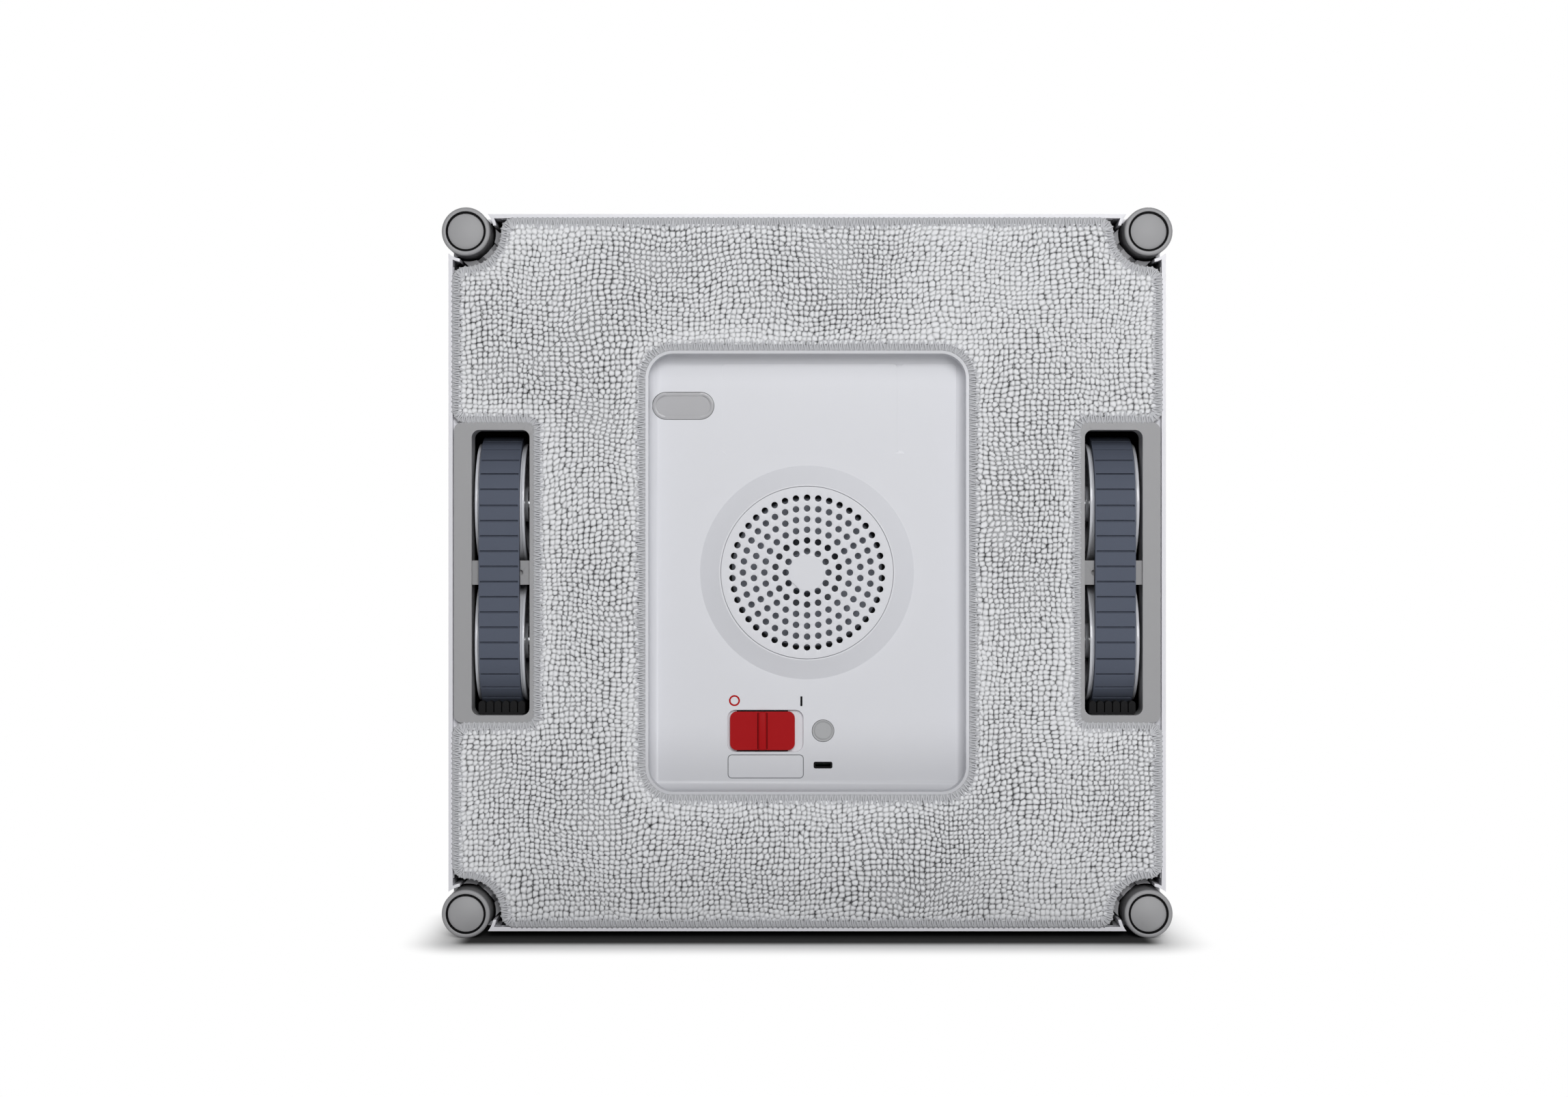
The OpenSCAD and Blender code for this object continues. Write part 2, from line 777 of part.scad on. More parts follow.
// Perforated disc: each ring of holes holds six more than the ring inside it
module fan_grille() place() color([0.86, 0.86, 0.88]) slab(cone_top, grille_back) difference() {
  circle(grille_r);
  for (ring = [grille_first_ring:grille_last_ring], i = [0:6 * ring - 1])
    rotate(60 * i / ring) translate([0, ring * grille_pitch]) circle(grille_hole_r);
}

module fan_seal() place() color([0.12, 0.12, 0.13]) slab(tray_back, casing_front) difference() {
  circle(seal_r);
  circle(seal_r - seal_wall);
}

// Scroll casing: front plate with the inlet, drum, back plate and exhaust duct
module fan_casing() place() color([0.16, 0.16, 0.17]) difference() {
  union() {
    slab(casing_front, casing_back) circle(casing_r);
    slab(shroud_depth, casing_back) translate([-casing_r, 0]) square([duct_w + 2 * casing_wall, duct_l]);
  }
  slab(casing_front + casing_plate_t, casing_back - casing_wall) circle(casing_r - casing_wall);
  slab(shroud_depth + casing_wall, casing_back - casing_wall)
    translate([casing_wall - casing_r, 0]) square([duct_w, duct_l + cut_past]);
  slab(casing_front - cut_past, casing_front + casing_plate_t + cut_past) circle(neck_r + neck_gap);
  slab(casing_back - casing_wall - cut_past, casing_back + cut_past) circle(2 * fan_shaft_r);
}

// One blade, swept back along an arc from the eye to the rim
module blade() translate([eye_r + blade_t, -blade_sweep_r, 0]) rotate(90 - blade_sweep_angle)
  rotate_extrude(angle = blade_sweep_angle) translate([blade_sweep_r, -blade_back - shroud_t / 2])
    square([blade_t, blade_l + shroud_t]);

// Rotor: a shroud with its neck and eye, the blades, the back plate, the hub and the shaft
module fan_rotor() place() color([0.24, 0.24, 0.25]) {
  difference() {
    union() {
      slab(shroud_depth, blade_front) circle(rotor_r);
      slab(neck_depth, blade_front) circle(neck_r);
    }
    slab(neck_depth - cut_past, blade_front + cut_past) circle(eye_r);
  }
  for (i = [0:blade_count - 1]) rotate(360 * i / blade_count) blade();
  slab(blade_back, rotor_back) circle(rotor_r);
  slab(blade_front, rotor_back) circle(hub_r);
  slab(blade_back, casing_back + motor_shaft_l) circle(fan_shaft_r);
}

module fan_motor() place() color([0.35, 0.36, 0.38]) difference() {
  union() {
    slab(casing_back, casing_back + fan_motor_l) circle(fan_motor_r);
    slab(casing_back, casing_back + casing_wall) circle(fan_motor_r + flange_w);
  }
  slab(casing_back - cut_past, casing_back + motor_shaft_l + seat_gap) circle(fan_shaft_r + run_gap);
}

// Tracks: everything here is drawn for the right side

// Puts an outline at a length run round the belt, with +y out of the belt.
// The run starts in the middle of the glass side and goes up round the upper wheel.
module on_belt(run) {
  half = wheel_gap / 2;
  turn_l = PI * pitch_r;
  s = run < 0 ? run + belt_l : run >= belt_l ? run - belt_l : run;
  if (s <= half) translate([s, pitch_r]) children();
  else if (s <= half + turn_l)
    translate([half, 0]) rotate(-180 * (s - half) / turn_l) translate([0, pitch_r]) children();
  else if (s <= half + turn_l + wheel_gap)
    translate([half - (s - half - turn_l), -pitch_r]) rotate(180) children();
  else if (s <= half + 2 * turn_l + wheel_gap)
    translate([-half, 0]) rotate(180 - 180 * (s - half - turn_l - wheel_gap) / turn_l)
      translate([0, pitch_r]) children();
  else translate([s - belt_l, pitch_r]) children();
}

// A stadium round both wheel centres
module stadium(r) {
  square([wheel_gap, 2 * r], center = true);
  for (s = [-1, 1]) translate([s * wheel_gap / 2, 0]) circle(r);
}

// A straight flanked lug that points inward
module taper(mouth, floor, top, bottom) polygon([
  [-mouth / 2, top], [mouth / 2, top], [floor / 2, bottom], [-floor / 2, bottom]
]);

// The row of lugs inside the belt that runs in the wheels' grooves
module lug_outlines() for (i = [0:belt_lugs - 1]) on_belt(i * belt_l / belt_lugs)
  taper(lug_base_w, lug_tip_w, tread_in_r - pitch_r + lug_root, tread_in_r - pitch_r - lug_h);

module groove_outlines() for (i = [0:groove_count - 1])
  on_belt((i + groove_shift_share) * belt_l / groove_count)
    translate([-groove_w / 2, tread_cover - groove_l]) square([groove_w, groove_l + cut_past]);

module tread() translate([0, 0, -wheel_depth]) difference() {
  union() {
    across(tread_x - tread_w / 2, tread_x + tread_w / 2) difference() {
      stadium(tread_r);
      stadium(tread_in_r);
    }
    across(tread_x - lug_w / 2, tread_x + lug_w / 2) lug_outlines();
  }
  across(tread_x - tread_w / 2 + tread_edge, tread_x + tread_w / 2 - tread_edge) groove_outlines();
}

module at_wheel(end) translate([0, end * wheel_gap / 2, -wheel_depth]) children();

// A track wheel between two bright rims, grooved for the belt's lugs, dished and pierced on both faces
module track_wheel(bore_r) difference() {
  union() {
    across(wheel_in_x, tread_x - lug_w / 2 - lug_gap) circle(wheel_r);
    across(wheel_in_x, wheel_out_x) circle(lug_groove_r);
    across(tread_x + lug_w / 2 + lug_gap, wheel_out_x) circle(wheel_r);
    across(wheel_in_x - rim_t, wheel_in_x) circle(rim_r);
    across(wheel_out_x, wheel_out_x + rim_t) circle(rim_r);
  }
  for (x = [wheel_in_x - rim_t - cut_past, wheel_out_x + rim_t - web_sink])
    across(x, x + web_sink + cut_past) difference() {
      circle(web_r);
      circle(wheel_hub_r);
    }
  across(wheel_in_x - rim_t - cut_past, wheel_out_x + rim_t + cut_past) {
    circle(bore_r);
    for (i = [0:spoke_count - 1]) rotate(360 * i / spoke_count)
      translate([0, (web_r + wheel_hub_r) / 2]) circle(spoke_hole_r);
  }
}

module drive_wheel() at_wheel(-1) track_wheel(shaft_r + fit_gap);
module idler_wheel() at_wheel(1) track_wheel(shaft_r + run_gap);

module drive_shaft() at_wheel(-1) across(gear_x, housing_out_x + bush_l) circle(shaft_r);

// Trapezoid teeth round a gear, six points to a tooth
function gear_points(teeth, module_mm) = [
  for (i = [0:teeth - 1], p = gear_tooth_shares)
    let (r = module_mm * (teeth / 2 + p[1]), a = 360 * (i + p[0]) / teeth) [r * sin(a), r * cos(a)]
];

module drive_gear() at_wheel(-1) across(gear_x, gear_x + gear_w) difference() {
  polygon(gear_points(drive_teeth, gear_module));
  circle(shaft_r + fit_gap);
}

module at_motor() translate([0, -motor_y, -motor_depth]) children();

module motor_pinion() at_motor() {
  across(gear_x, gear_x + gear_w) rotate(motor_angle - 90) polygon(gear_points(pinion_teeth, gear_module));
  across(gear_x - gearbox_gap - pinion_shaft_l, gear_x + gear_w) circle(pinion_shaft_r);
}

module gearmotor() at_motor() difference() {
  union() {
    across(gear_x - gearbox_gap - gearbox_l, gear_x - gearbox_gap) circle(gearbox_r);
    across(gear_x - gearbox_gap - gearbox_l - motor_l, gear_x - gearbox_gap - gearbox_l) circle(motor_r);
  }
  across(gear_x - gearbox_gap - pinion_shaft_l - seat_gap, gear_x + gear_w)
    circle(pinion_shaft_r + run_gap);
}

module bezel_outline() translate([(bezel_in_x + bezel_out_x) / 2, 0])
  rounded(bezel_out_x - bezel_in_x, bezel_h, well_r);

module track_bezel() difference() {
  union() {
    slab(bezel_depth, housing_front) bezel_outline();
    slab(bezel_depth, housing_front + bezel_skirt_l) translate([well_x, 0])
      rounded(well_w + 2 * skirt_t, well_h + 2 * skirt_t, well_r + skirt_t);
  }
  slab(bezel_depth - cut_past, housing_front + bezel_skirt_l + cut_past) translate([well_x, 0])
    rounded(well_w, well_h, well_r);
}

module track_housing() difference() {
  union() {
    slab(housing_front, plate_back) translate([well_x, 0])
      square([housing_w, housing_h] + 2 * (housing_in_x - bezel_in_x) * [1, 1], center = true);
    slab(plate_depth, track_back) translate([well_x, 0])
      square([housing_w, housing_h] + 2 * track_wall * [1, 1], center = true);
    slab(plate_back, plate_back + flange_t) intersection() {
      translate([well_x, 0])
        square([housing_w, housing_h] + 2 * (track_wall + flange_w) * [1, 1], center = true);
      inner_outline(seat_gap);
    }
    for (end = [-1, 1]) at_wheel(end)
      across(housing_in_x - bush_l, housing_out_x + bush_l) circle(shaft_r + bush_wall + bush_boss_wall);
  }
  slab(housing_front - cut_past, track_back - track_wall) translate([well_x, 0])
    square([housing_w, housing_h], center = true);
  at_wheel(-1) across(housing_in_x - bush_l - cut_past, housing_out_x + bush_l + cut_past)
    circle(shaft_r + bush_wall + fit_gap);
  at_wheel(1) across(housing_in_x - bush_l - cut_past, housing_out_x + bush_l + cut_past)
    circle(shaft_r + fit_gap);
}

module bushes() at_wheel(-1) for (x = [housing_in_x - bush_l, housing_out_x])
  across(x, x + bush_l) difference() {
  circle(shaft_r + bush_wall);
  circle(shaft_r + run_gap);
}

module idler_pin() at_wheel(1) across(housing_in_x - bush_l, housing_out_x + bush_l) circle(shaft_r);

// The block behind the tread's straight run, with an ear each side of it
module track_bridge() difference() {
  across(well_x - well_w / 2, well_x + well_w / 2) translate([-bridge_h / 2, -bridge_back])
    square([bridge_h, bridge_back - bridge_ear_depth]);
  slab(bridge_ear_depth - cut_past, bridge_depth) {
    translate([tread_x, 0]) square([tread_w + 2 * seat_gap, bridge_h + cut_past], center = true);
    translate([tread_x - tread_w / 2 - seat_gap, 0]) circle(bridge_notch_r);
  }
}

// Comb of round-ended fingers that keeps dirt off the tread, set inside the bezel's skirt
module tread_scraper() slab(finger_depth, finger_back) translate([well_x, -well_h / 2]) {
  translate([well_r - well_w / 2, 0]) square([well_w - 2 * well_r, scraper_foot_t]);
  for (i = [0:finger_count - 1])
    translate([(i - (finger_count - 1) / 2) * finger_pitch, scraper_foot_t / 2]) {
      translate([-finger_w / 2, 0]) square([finger_w, finger_l - finger_w / 2]);
      translate([0, finger_l - finger_w / 2]) circle(finger_w / 2);
    }
}

module left_track_bezel() place() color([0.61, 0.61, 0.62]) mirrored() track_bezel();
module right_track_bezel() place() color([0.61, 0.61, 0.62]) track_bezel();
module left_track_housing() place() color([0.05, 0.05, 0.06]) mirrored() track_housing();
module right_track_housing() place() color([0.05, 0.05, 0.06]) track_housing();
module left_tread() place() color([0.35, 0.38, 0.44]) mirrored() tread();
module right_tread() place() color([0.35, 0.38, 0.44]) tread();
module left_drive_wheel() place() color([0.75, 0.76, 0.78]) mirrored() drive_wheel();
module right_drive_wheel() place() color([0.75, 0.76, 0.78]) drive_wheel();
module left_idler_wheel() place() color([0.75, 0.76, 0.78]) mirrored() idler_wheel();
module right_idler_wheel() place() color([0.75, 0.76, 0.78]) idler_wheel();
module left_drive_shaft() place() color([0.7, 0.71, 0.73]) mirrored() drive_shaft();
module right_drive_shaft() place() color([0.7, 0.71, 0.73]) drive_shaft();
module left_drive_gear() place() color([0.9, 0.9, 0.88]) mirrored() drive_gear();
module right_drive_gear() place() color([0.9, 0.9, 0.88]) drive_gear();
module left_motor_pinion() place() color([0.78, 0.65, 0.35]) mirrored() motor_pinion();
module right_motor_pinion() place() color([0.78, 0.65, 0.35]) motor_pinion();
module left_gearmotor() place() color([0.5, 0.51, 0.53]) mirrored() gearmotor();
module right_gearmotor() place() color([0.5, 0.51, 0.53]) gearmotor();
module left_track_bridge() place() color([0.53, 0.53, 0.54]) mirrored() track_bridge();
module right_track_bridge() place() color([0.53, 0.53, 0.54]) track_bridge();
module left_tread_scraper() place() color([0.15, 0.15, 0.16]) mirrored() tread_scraper();
module right_tread_scraper() place() color([0.15, 0.15, 0.16]) tread_scraper();
module idler_pins() place() color([0.7, 0.71, 0.73]) both() idler_pin();
module shaft_bushes() place() color([0.78, 0.65, 0.35]) both() bushes();

// Controls and boards

module switch_slider() place() color([0.66, 0.1, 0.12]) at_switch() translate([slider_shift, 0, 0]) {
  front = tray_depth - slider_rise;
  slab(front, front + slider_t) rounded(slider_w, slider_h, slider_r);
  slab(front - slider_rib_rise, front + slider_t / 2) rounded(slider_rib_w, slider_h, slider_rib_w / 4);
  slab(front + slider_t / 2, tray_back + slider_stem_l) square(slider_stem, center = true);
}

module switch_body() place() color([0.06, 0.06, 0.07]) at_switch() difference() {
  slab(tray_back, board_depth) square([switch_w, switch_h] + switch_body_margin * [1, 1], center = true);
  slab(tray_back - cut_past, tray_back + slider_stem_l + 2 * seat_gap)
    translate([slider_shift + slider_travel / 2, 0])
      square(slider_stem + [slider_travel + 2 * soft_gap, 2 * soft_gap], center = true);
}

// Round button with a groove that leaves a raised middle
module reset_button() place() color([0.6, 0.6, 0.61]) at_button() difference() {
  front = tray_depth - button_rise;
  union() {
    slab(front, front + button_l) circle(button_r - seat_gap);
    slab(tray_back + seat_gap, front + button_l) circle(button_r + button_flange_w);
  }
  slab(front - cut_past, front + button_groove) difference() {
    circle(button_ring_r + button_groove / 2);
    circle(button_ring_r - button_groove / 2);
  }
}

// The board behind the tray, with the key that the round button presses
module control_board() place() color([0.05, 0.25, 0.15]) {
  left = switch_x - switch_w / 2 - switch_body_margin;
  right = button_x + button_r + switch_body_margin + 2 * button_flange_w;
  top = switch_h / 2 - switch_y;
  bottom = -port_y - port_h / 2 - 2 * switch_body_margin;
  slab(board_depth, board_depth + board_t) translate([left, bottom]) square([right - left, top - bottom]);
  at_button()
    slab(tray_depth - button_rise + button_l + button_travel + seat_gap, board_depth + board_t / 2)
    square(button_key, center = true);
}

module service_port() place() color([0.04, 0.04, 0.05]) at_port() slab(tray_depth + port_wall / 2, board_depth)
  difference() {
    rounded(port_w - 2 * seat_gap, port_h - 2 * seat_gap, port_r - seat_gap);
    rounded(port_w - 2 * port_wall, port_h - 2 * port_wall, port_r / 2);
  }

module sensor_window() place() color([0.63, 0.63, 0.64]) at_window() difference() {
  slab(window_depth, tray_back) pill(window_w - 2 * seat_gap, window_h - 2 * seat_gap);
  slab(window_depth - cut_past, window_depth + window_frame_rise)
    pill(window_w - 2 * window_frame_w, window_h - 2 * window_frame_w);
}

module sensor_board() place() color([0.05, 0.25, 0.15]) at_window() slab(tray_back, tray_back + board_t)
  square(sensor_board_size, center = true);

// Main board with its larger parts on the side away from the front plate
module main_board() place() color([0.05, 0.25, 0.15]) translate([0, -board_y, 0]) {
  front = plate_back + board_stand_l;
  place_shares = [[-0.36, 0.2], [-0.12, -0.1], [0.1, 0.22], [0.32, -0.15]];
  size_shares = [[0.16, 0.34], [0.2, 0.44], [0.1, 0.2], [0.14, 0.5]];
  slab(front, front + board_t) square(main_board_size, center = true);
  for (i = [0:len(place_shares) - 1])
    translate([place_shares[i][0] * main_board_size[0], place_shares[i][1] * main_board_size[1], 0])
      slab(front + board_t / 2, front + board_t + chip_t)
        square([
          size_shares[i][0] * main_board_size[0], size_shares[i][1] * main_board_size[1]
        ], center = true);
}

module battery_pack() place() color([0.15, 0.25, 0.45]) translate([0, battery_y, 0])
  slab(plate_back, plate_back + battery_t) rounded(battery_size[0], battery_size[1], battery_r);

// Back cover and what it carries

// The places of the two posts that hold the start button's board
module start_posts() for (s = [-1, 1])
  translate([s * (start_board[0] / 2 - stand_r), start_y, 0]) children();

// The cover's hollow, less the scoop's shell and the posts
module cover_hollow() difference() {
  soft_block(
    cover_w - 2 * cover_wall, cover_w - 2 * cover_wall, seam_depth - cut_past, cover_inner_back,
    cover_corner_r - cover_wall, cover_edge_r - cover_wall
  );
  slab(cover_inner_back - scoop_sink, cover_depth)
    rounded(scoop_l + 2 * cover_wall, scoop_w + 2 * cover_wall, scoop_r + cover_wall);
  screw_places() slab(seam_depth, cover_depth) circle(post_r);
  start_posts() slab(start_board_depth, cover_depth) circle(stand_r);
}

module top_cover() place() color([0.87, 0.87, 0.89]) difference() {
  soft_block(cover_w, cover_w, seam_depth, cover_depth, cover_corner_r, cover_edge_r);
  cover_hollow();
  slab(cover_depth - scoop_sink, cover_depth + cut_past) rounded(scoop_l, scoop_w, scoop_r);
  screw_places() slab(seam_depth - cut_past, seam_depth + screw_bite_l + cut_past)
    circle(screw_r + fit_gap);
  translate([0, start_y, 0]) {
    slab(cover_inner_back - cut_past, cover_depth + cut_past) circle(start_r + seat_gap);
    slab(cover_depth - ring_sink, cover_depth + cut_past) circle(start_r + seat_gap + ring_w);
  }
  slab(cover_inner_back - cut_past, cover_depth + cut_past) {
    translate([fitting_x, fitting_y]) circle(inlet_body_r + seat_gap);
    for (side = [-1, 1], i = [0:vent_count - 1])
      translate([side * vent_x + (i - (vent_count - 1) / 2) * vent_pitch, -vent_y]) rotate(90)
        pill(vent_l, vent_w);
  }
}

// Carry handle: a soft bar on two feet, with room for fingers under it
module handle() place() color([0.83, 0.83, 0.85]) difference() {
  gap_w = handle_l - 2 * handle_foot_l;
  gap_back = handle_depth - handle_t;
  soft_block(handle_l, handle_w, cover_depth, handle_depth, handle_end_r, handle_edge_r);
  rotate(90) across(-handle_w, handle_w)
    soft_profile(gap_w, cover_depth - cut_past, gap_back, handle_gap_r);
}

module start_button() place() color([0.9, 0.9, 0.91]) translate([0, start_y, 0]) {
  slab(cover_inner_back - start_flange_t, cover_depth + start_rise) circle(start_r);
  slab(cover_inner_back - start_flange_t - seat_gap, cover_inner_back - seat_gap)
    circle(start_r + start_flange_w);
}

// The start button's board on its posts, with the key that the button presses
module start_switch() place() color([0.05, 0.25, 0.15]) translate([0, start_y, 0]) {
  key_back = cover_inner_back - start_flange_t - start_travel - 2 * seat_gap;
  slab(start_board_depth - board_t, start_board_depth) square(start_board, center = true);
  slab(start_board_depth - board_t / 2, key_back) square(start_key, center = true);
}

module status_ring() place() color([0.55, 0.75, 0.85]) translate([0, start_y, 0])
  slab(cover_depth - ring_sink, cover_depth + ring_rise) difference() {
    circle(start_r + ring_w);
    circle(start_r + 2 * seat_gap);
  }

// Eyelet that the safety tether is tied to
module tether_eyelet() place() color([0.7, 0.71, 0.73]) translate([-fitting_x, fitting_y, 0]) {
  centre_z = -(cover_depth + eyelet_foot[2] + eyelet_r + eyelet_wall / 2);
  slab(cover_depth, cover_depth + eyelet_foot[2]) rounded(eyelet_foot[0], eyelet_foot[1], eyelet_foot_r);
  across(-eyelet_t / 2, eyelet_t / 2) difference() {
    union() {
      translate([0, centre_z]) circle(eyelet_r + eyelet_wall);
      translate([-eyelet_r - eyelet_wall, centre_z])
        square([2 * (eyelet_r + eyelet_wall), -cover_depth - centre_z]);
    }
    translate([0, centre_z]) circle(eyelet_r);
  }
}

module power_inlet() place() color([0.08, 0.08, 0.09]) translate([fitting_x, fitting_y, 0]) difference() {
  union() {
    slab(cover_depth, cover_depth + inlet_flange_t) circle(inlet_flange_r);
    slab(cover_depth + inlet_flange_t - inlet_l - cover_wall, cover_depth + inlet_flange_t)
      circle(inlet_body_r);
  }
  slab(cover_depth + inlet_flange_t - inlet_l, cover_depth + inlet_flange_t + cut_past) circle(inlet_r);
}

module housing_screws() place() color([0.45, 0.46, 0.48]) screw_places() {
  slab(seam_depth - screw_grip_t - screw_head_t, seam_depth - screw_grip_t) circle(screw_head_r);
  slab(seam_depth - screw_grip_t - screw_head_t / 2, seam_depth + screw_bite_l) circle(screw_r);
}

base_shell();
top_cover();
centre_tray();
fan_grille();
fan_seal();
fan_casing();
fan_rotor();
fan_motor();
left_track_bezel();
right_track_bezel();
left_track_housing();
right_track_housing();
left_tread();
right_tread();
left_drive_wheel();
right_drive_wheel();
left_idler_wheel();
right_idler_wheel();
left_drive_shaft();
right_drive_shaft();
left_drive_gear();
right_drive_gear();
idler_pins();
shaft_bushes();
left_track_bridge();
right_track_bridge();
left_tread_scraper();
right_tread_scraper();
left_motor_pinion();
right_motor_pinion();
left_gearmotor();
right_gearmotor();
top_right_roller();
top_left_roller();
bottom_left_roller();
bottom_right_roller();
roller_caps();
roller_pins();
roller_pockets();
corner_brackets();
cleaning_pad();
hook_strips();
switch_slider();
switch_body();
reset_button();
control_board();
service_port();
sensor_window();
sensor_board();
main_board();
battery_pack();
handle();
start_button();
start_switch();
status_ring();
tether_eyelet();
power_inlet();
housing_screws();
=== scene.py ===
import json
import math
import random

import bmesh
import bpy
import numpy as np
from mathutils import Matrix, Vector, kdtree

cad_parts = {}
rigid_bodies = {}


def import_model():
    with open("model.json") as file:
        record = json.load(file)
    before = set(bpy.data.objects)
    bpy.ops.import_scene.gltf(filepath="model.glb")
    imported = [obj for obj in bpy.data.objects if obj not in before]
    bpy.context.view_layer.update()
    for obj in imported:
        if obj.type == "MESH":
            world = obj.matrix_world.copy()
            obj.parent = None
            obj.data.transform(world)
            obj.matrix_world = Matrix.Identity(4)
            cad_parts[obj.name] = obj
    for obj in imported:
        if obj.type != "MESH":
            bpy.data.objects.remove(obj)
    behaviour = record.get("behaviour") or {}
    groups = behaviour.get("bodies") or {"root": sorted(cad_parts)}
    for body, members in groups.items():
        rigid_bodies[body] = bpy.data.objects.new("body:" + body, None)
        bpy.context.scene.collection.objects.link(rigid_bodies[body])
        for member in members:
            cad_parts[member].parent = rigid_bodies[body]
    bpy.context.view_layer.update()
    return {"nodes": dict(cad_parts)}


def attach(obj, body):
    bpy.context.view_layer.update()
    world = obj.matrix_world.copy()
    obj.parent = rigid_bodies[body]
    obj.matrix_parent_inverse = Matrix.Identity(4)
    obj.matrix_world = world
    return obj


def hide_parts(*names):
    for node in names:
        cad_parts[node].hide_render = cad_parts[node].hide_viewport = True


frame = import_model()
nodes = frame["nodes"]

# Camera: straight on at the working side, a little left of and above the
# robot's middle, about a metre from the glass plane.
camera_data = bpy.data.cameras.new("product_camera")
camera_data.sensor_width = 36
camera_data.lens = 65.2
camera_data.clip_start = 0.01
camera_data.clip_end = 50
camera = bpy.data.objects.new("product_camera", camera_data)
camera.location = (-0.00777, -1.002, 0.13059)
camera.rotation_euler = (math.radians(90), 0, 0)
bpy.context.scene.collection.objects.link(camera)
bpy.context.scene.camera = camera
bpy.context.scene.view_settings.view_transform = "Standard"

# Studio: a white sweep of floor and sky, with a broad soft lamp high up in
# front and another behind. Under the robot's front half and just in front of
# it, the floor's colour is darkened as a painted shadow, on top of the lamps'
# own shadow. Away from the robot the floor fades to white.
world = bpy.data.worlds.new("studio_sky")
bpy.context.scene.world = world
world.use_nodes = True
sky = world.node_tree
sky.nodes.clear()
sky_rays = sky.nodes.new("ShaderNodeLightPath")
sky_shown = sky.nodes.new("ShaderNodeMath")
sky_shown.operation = "MAXIMUM"
sky_seen = sky.nodes.new("ShaderNodeMath")
sky_seen.operation = "MAXIMUM"
sky.links.new(sky_rays.outputs["Is Camera Ray"], sky_shown.inputs[0])
sky.links.new(sky_rays.outputs["Is Transmission Ray"], sky_shown.inputs[1])
sky.links.new(sky_rays.outputs["Is Glossy Ray"], sky_seen.inputs[0])
sky.links.new(sky_shown.outputs[0], sky_seen.inputs[1])
sky_level = sky.nodes.new("ShaderNodeMapRange")
sky_level.inputs["To Min"].default_value = 0.17
sky_level.inputs["To Max"].default_value = 1.0
sky.links.new(sky_seen.outputs[0], sky_level.inputs["Value"])
sky_glow = sky.nodes.new("ShaderNodeBackground")
sky_glow.inputs["Color"].default_value = (1, 1, 1, 1)
sky_out = sky.nodes.new("ShaderNodeOutputWorld")
sky.links.new(sky_level.outputs["Result"], sky_glow.inputs["Strength"])
sky.links.new(sky_glow.outputs[0], sky_out.inputs["Surface"])


def add_lamp(name, place, target, width, height, power):
    lamp = bpy.data.lights.new(name, "AREA")
    lamp.shape = "RECTANGLE"
    lamp.size = width
    lamp.size_y = height
    lamp.energy = power
    holder = bpy.data.objects.new(name, lamp)
    holder.location = place
    holder.rotation_euler = (Vector(target) - Vector(place)).to_track_quat("-Z", "Y").to_euler()
    bpy.context.scene.collection.objects.link(holder)
    return holder


add_lamp("front_softbox", (0.2, -1.9, 0.7), (0, 0, 0.12), 0.8, 0.8, 22)
add_lamp("back_softbox", (0.6, 1.7, 0.9), (0, 0, 0.12), 1.0, 1.0, 20)


def clear_selection():
    for o in bpy.context.view_layer.objects:
        o.select_set(False)


clear_selection()
bpy.ops.mesh.primitive_plane_add(size=12, location=(0, 0, 0))
floor = bpy.context.active_object
floor.name = "studio_floor"
floor_paint = bpy.data.materials.new("floor_paint")
floor_paint.use_nodes = True
floor_tree = floor_paint.node_tree
floor_tree.nodes.clear()
floor_matt = floor_tree.nodes.new("ShaderNodeBsdfDiffuse")
# Painted shadow: the floor's colour falls from 0.84 to 0.06 under the robot's front half and just
# in front of it.
floor_painted_shadow = floor_tree.nodes.new("ShaderNodeMapRange")
floor_painted_shadow.interpolation_type = "SMOOTHSTEP"
floor_painted_shadow.inputs["From Max"].default_value = 0.011
floor_painted_shadow.inputs["To Min"].default_value = 0.06
floor_painted_shadow.inputs["To Max"].default_value = 0.84
floor_place = floor_tree.nodes.new("ShaderNodeTexCoord")
floor_shift = floor_tree.nodes.new("ShaderNodeVectorMath")
floor_shift.inputs[1].default_value = (0, 0.03, 0)
floor_fold = floor_tree.nodes.new("ShaderNodeVectorMath")
floor_fold.operation = "ABSOLUTE"
floor_off = floor_tree.nodes.new("ShaderNodeVectorMath")
floor_off.operation = "SUBTRACT"
floor_off.inputs[1].default_value = (0.112, 0.03, 0)
floor_out_by = floor_tree.nodes.new("ShaderNodeVectorMath")
floor_out_by.operation = "MAXIMUM"
floor_out_by.inputs[1].default_value = (0, 0, 0)
floor_stretch = floor_tree.nodes.new("ShaderNodeVectorMath")
floor_stretch.operation = "MULTIPLY"
floor_stretch.inputs[1].default_value = (1.5, 1, 1)
floor_far = floor_tree.nodes.new("ShaderNodeVectorMath")
floor_far.operation = "LENGTH"
floor_fade = floor_tree.nodes.new("ShaderNodeMapRange")
floor_fade.interpolation_type = "SMOOTHSTEP"
floor_fade.inputs["From Min"].default_value = 0.002
floor_fade.inputs["From Max"].default_value = 0.036
floor_rays = floor_tree.nodes.new("ShaderNodeLightPath")
floor_shown = floor_tree.nodes.new("ShaderNodeMath")
floor_shown.operation = "MAXIMUM"
floor_both = floor_tree.nodes.new("ShaderNodeMath")
floor_both.operation = "MULTIPLY"
floor_lift = floor_tree.nodes.new("ShaderNodeEmission")
floor_blend = floor_tree.nodes.new("ShaderNodeMixShader")
floor_out = floor_tree.nodes.new("ShaderNodeOutputMaterial")
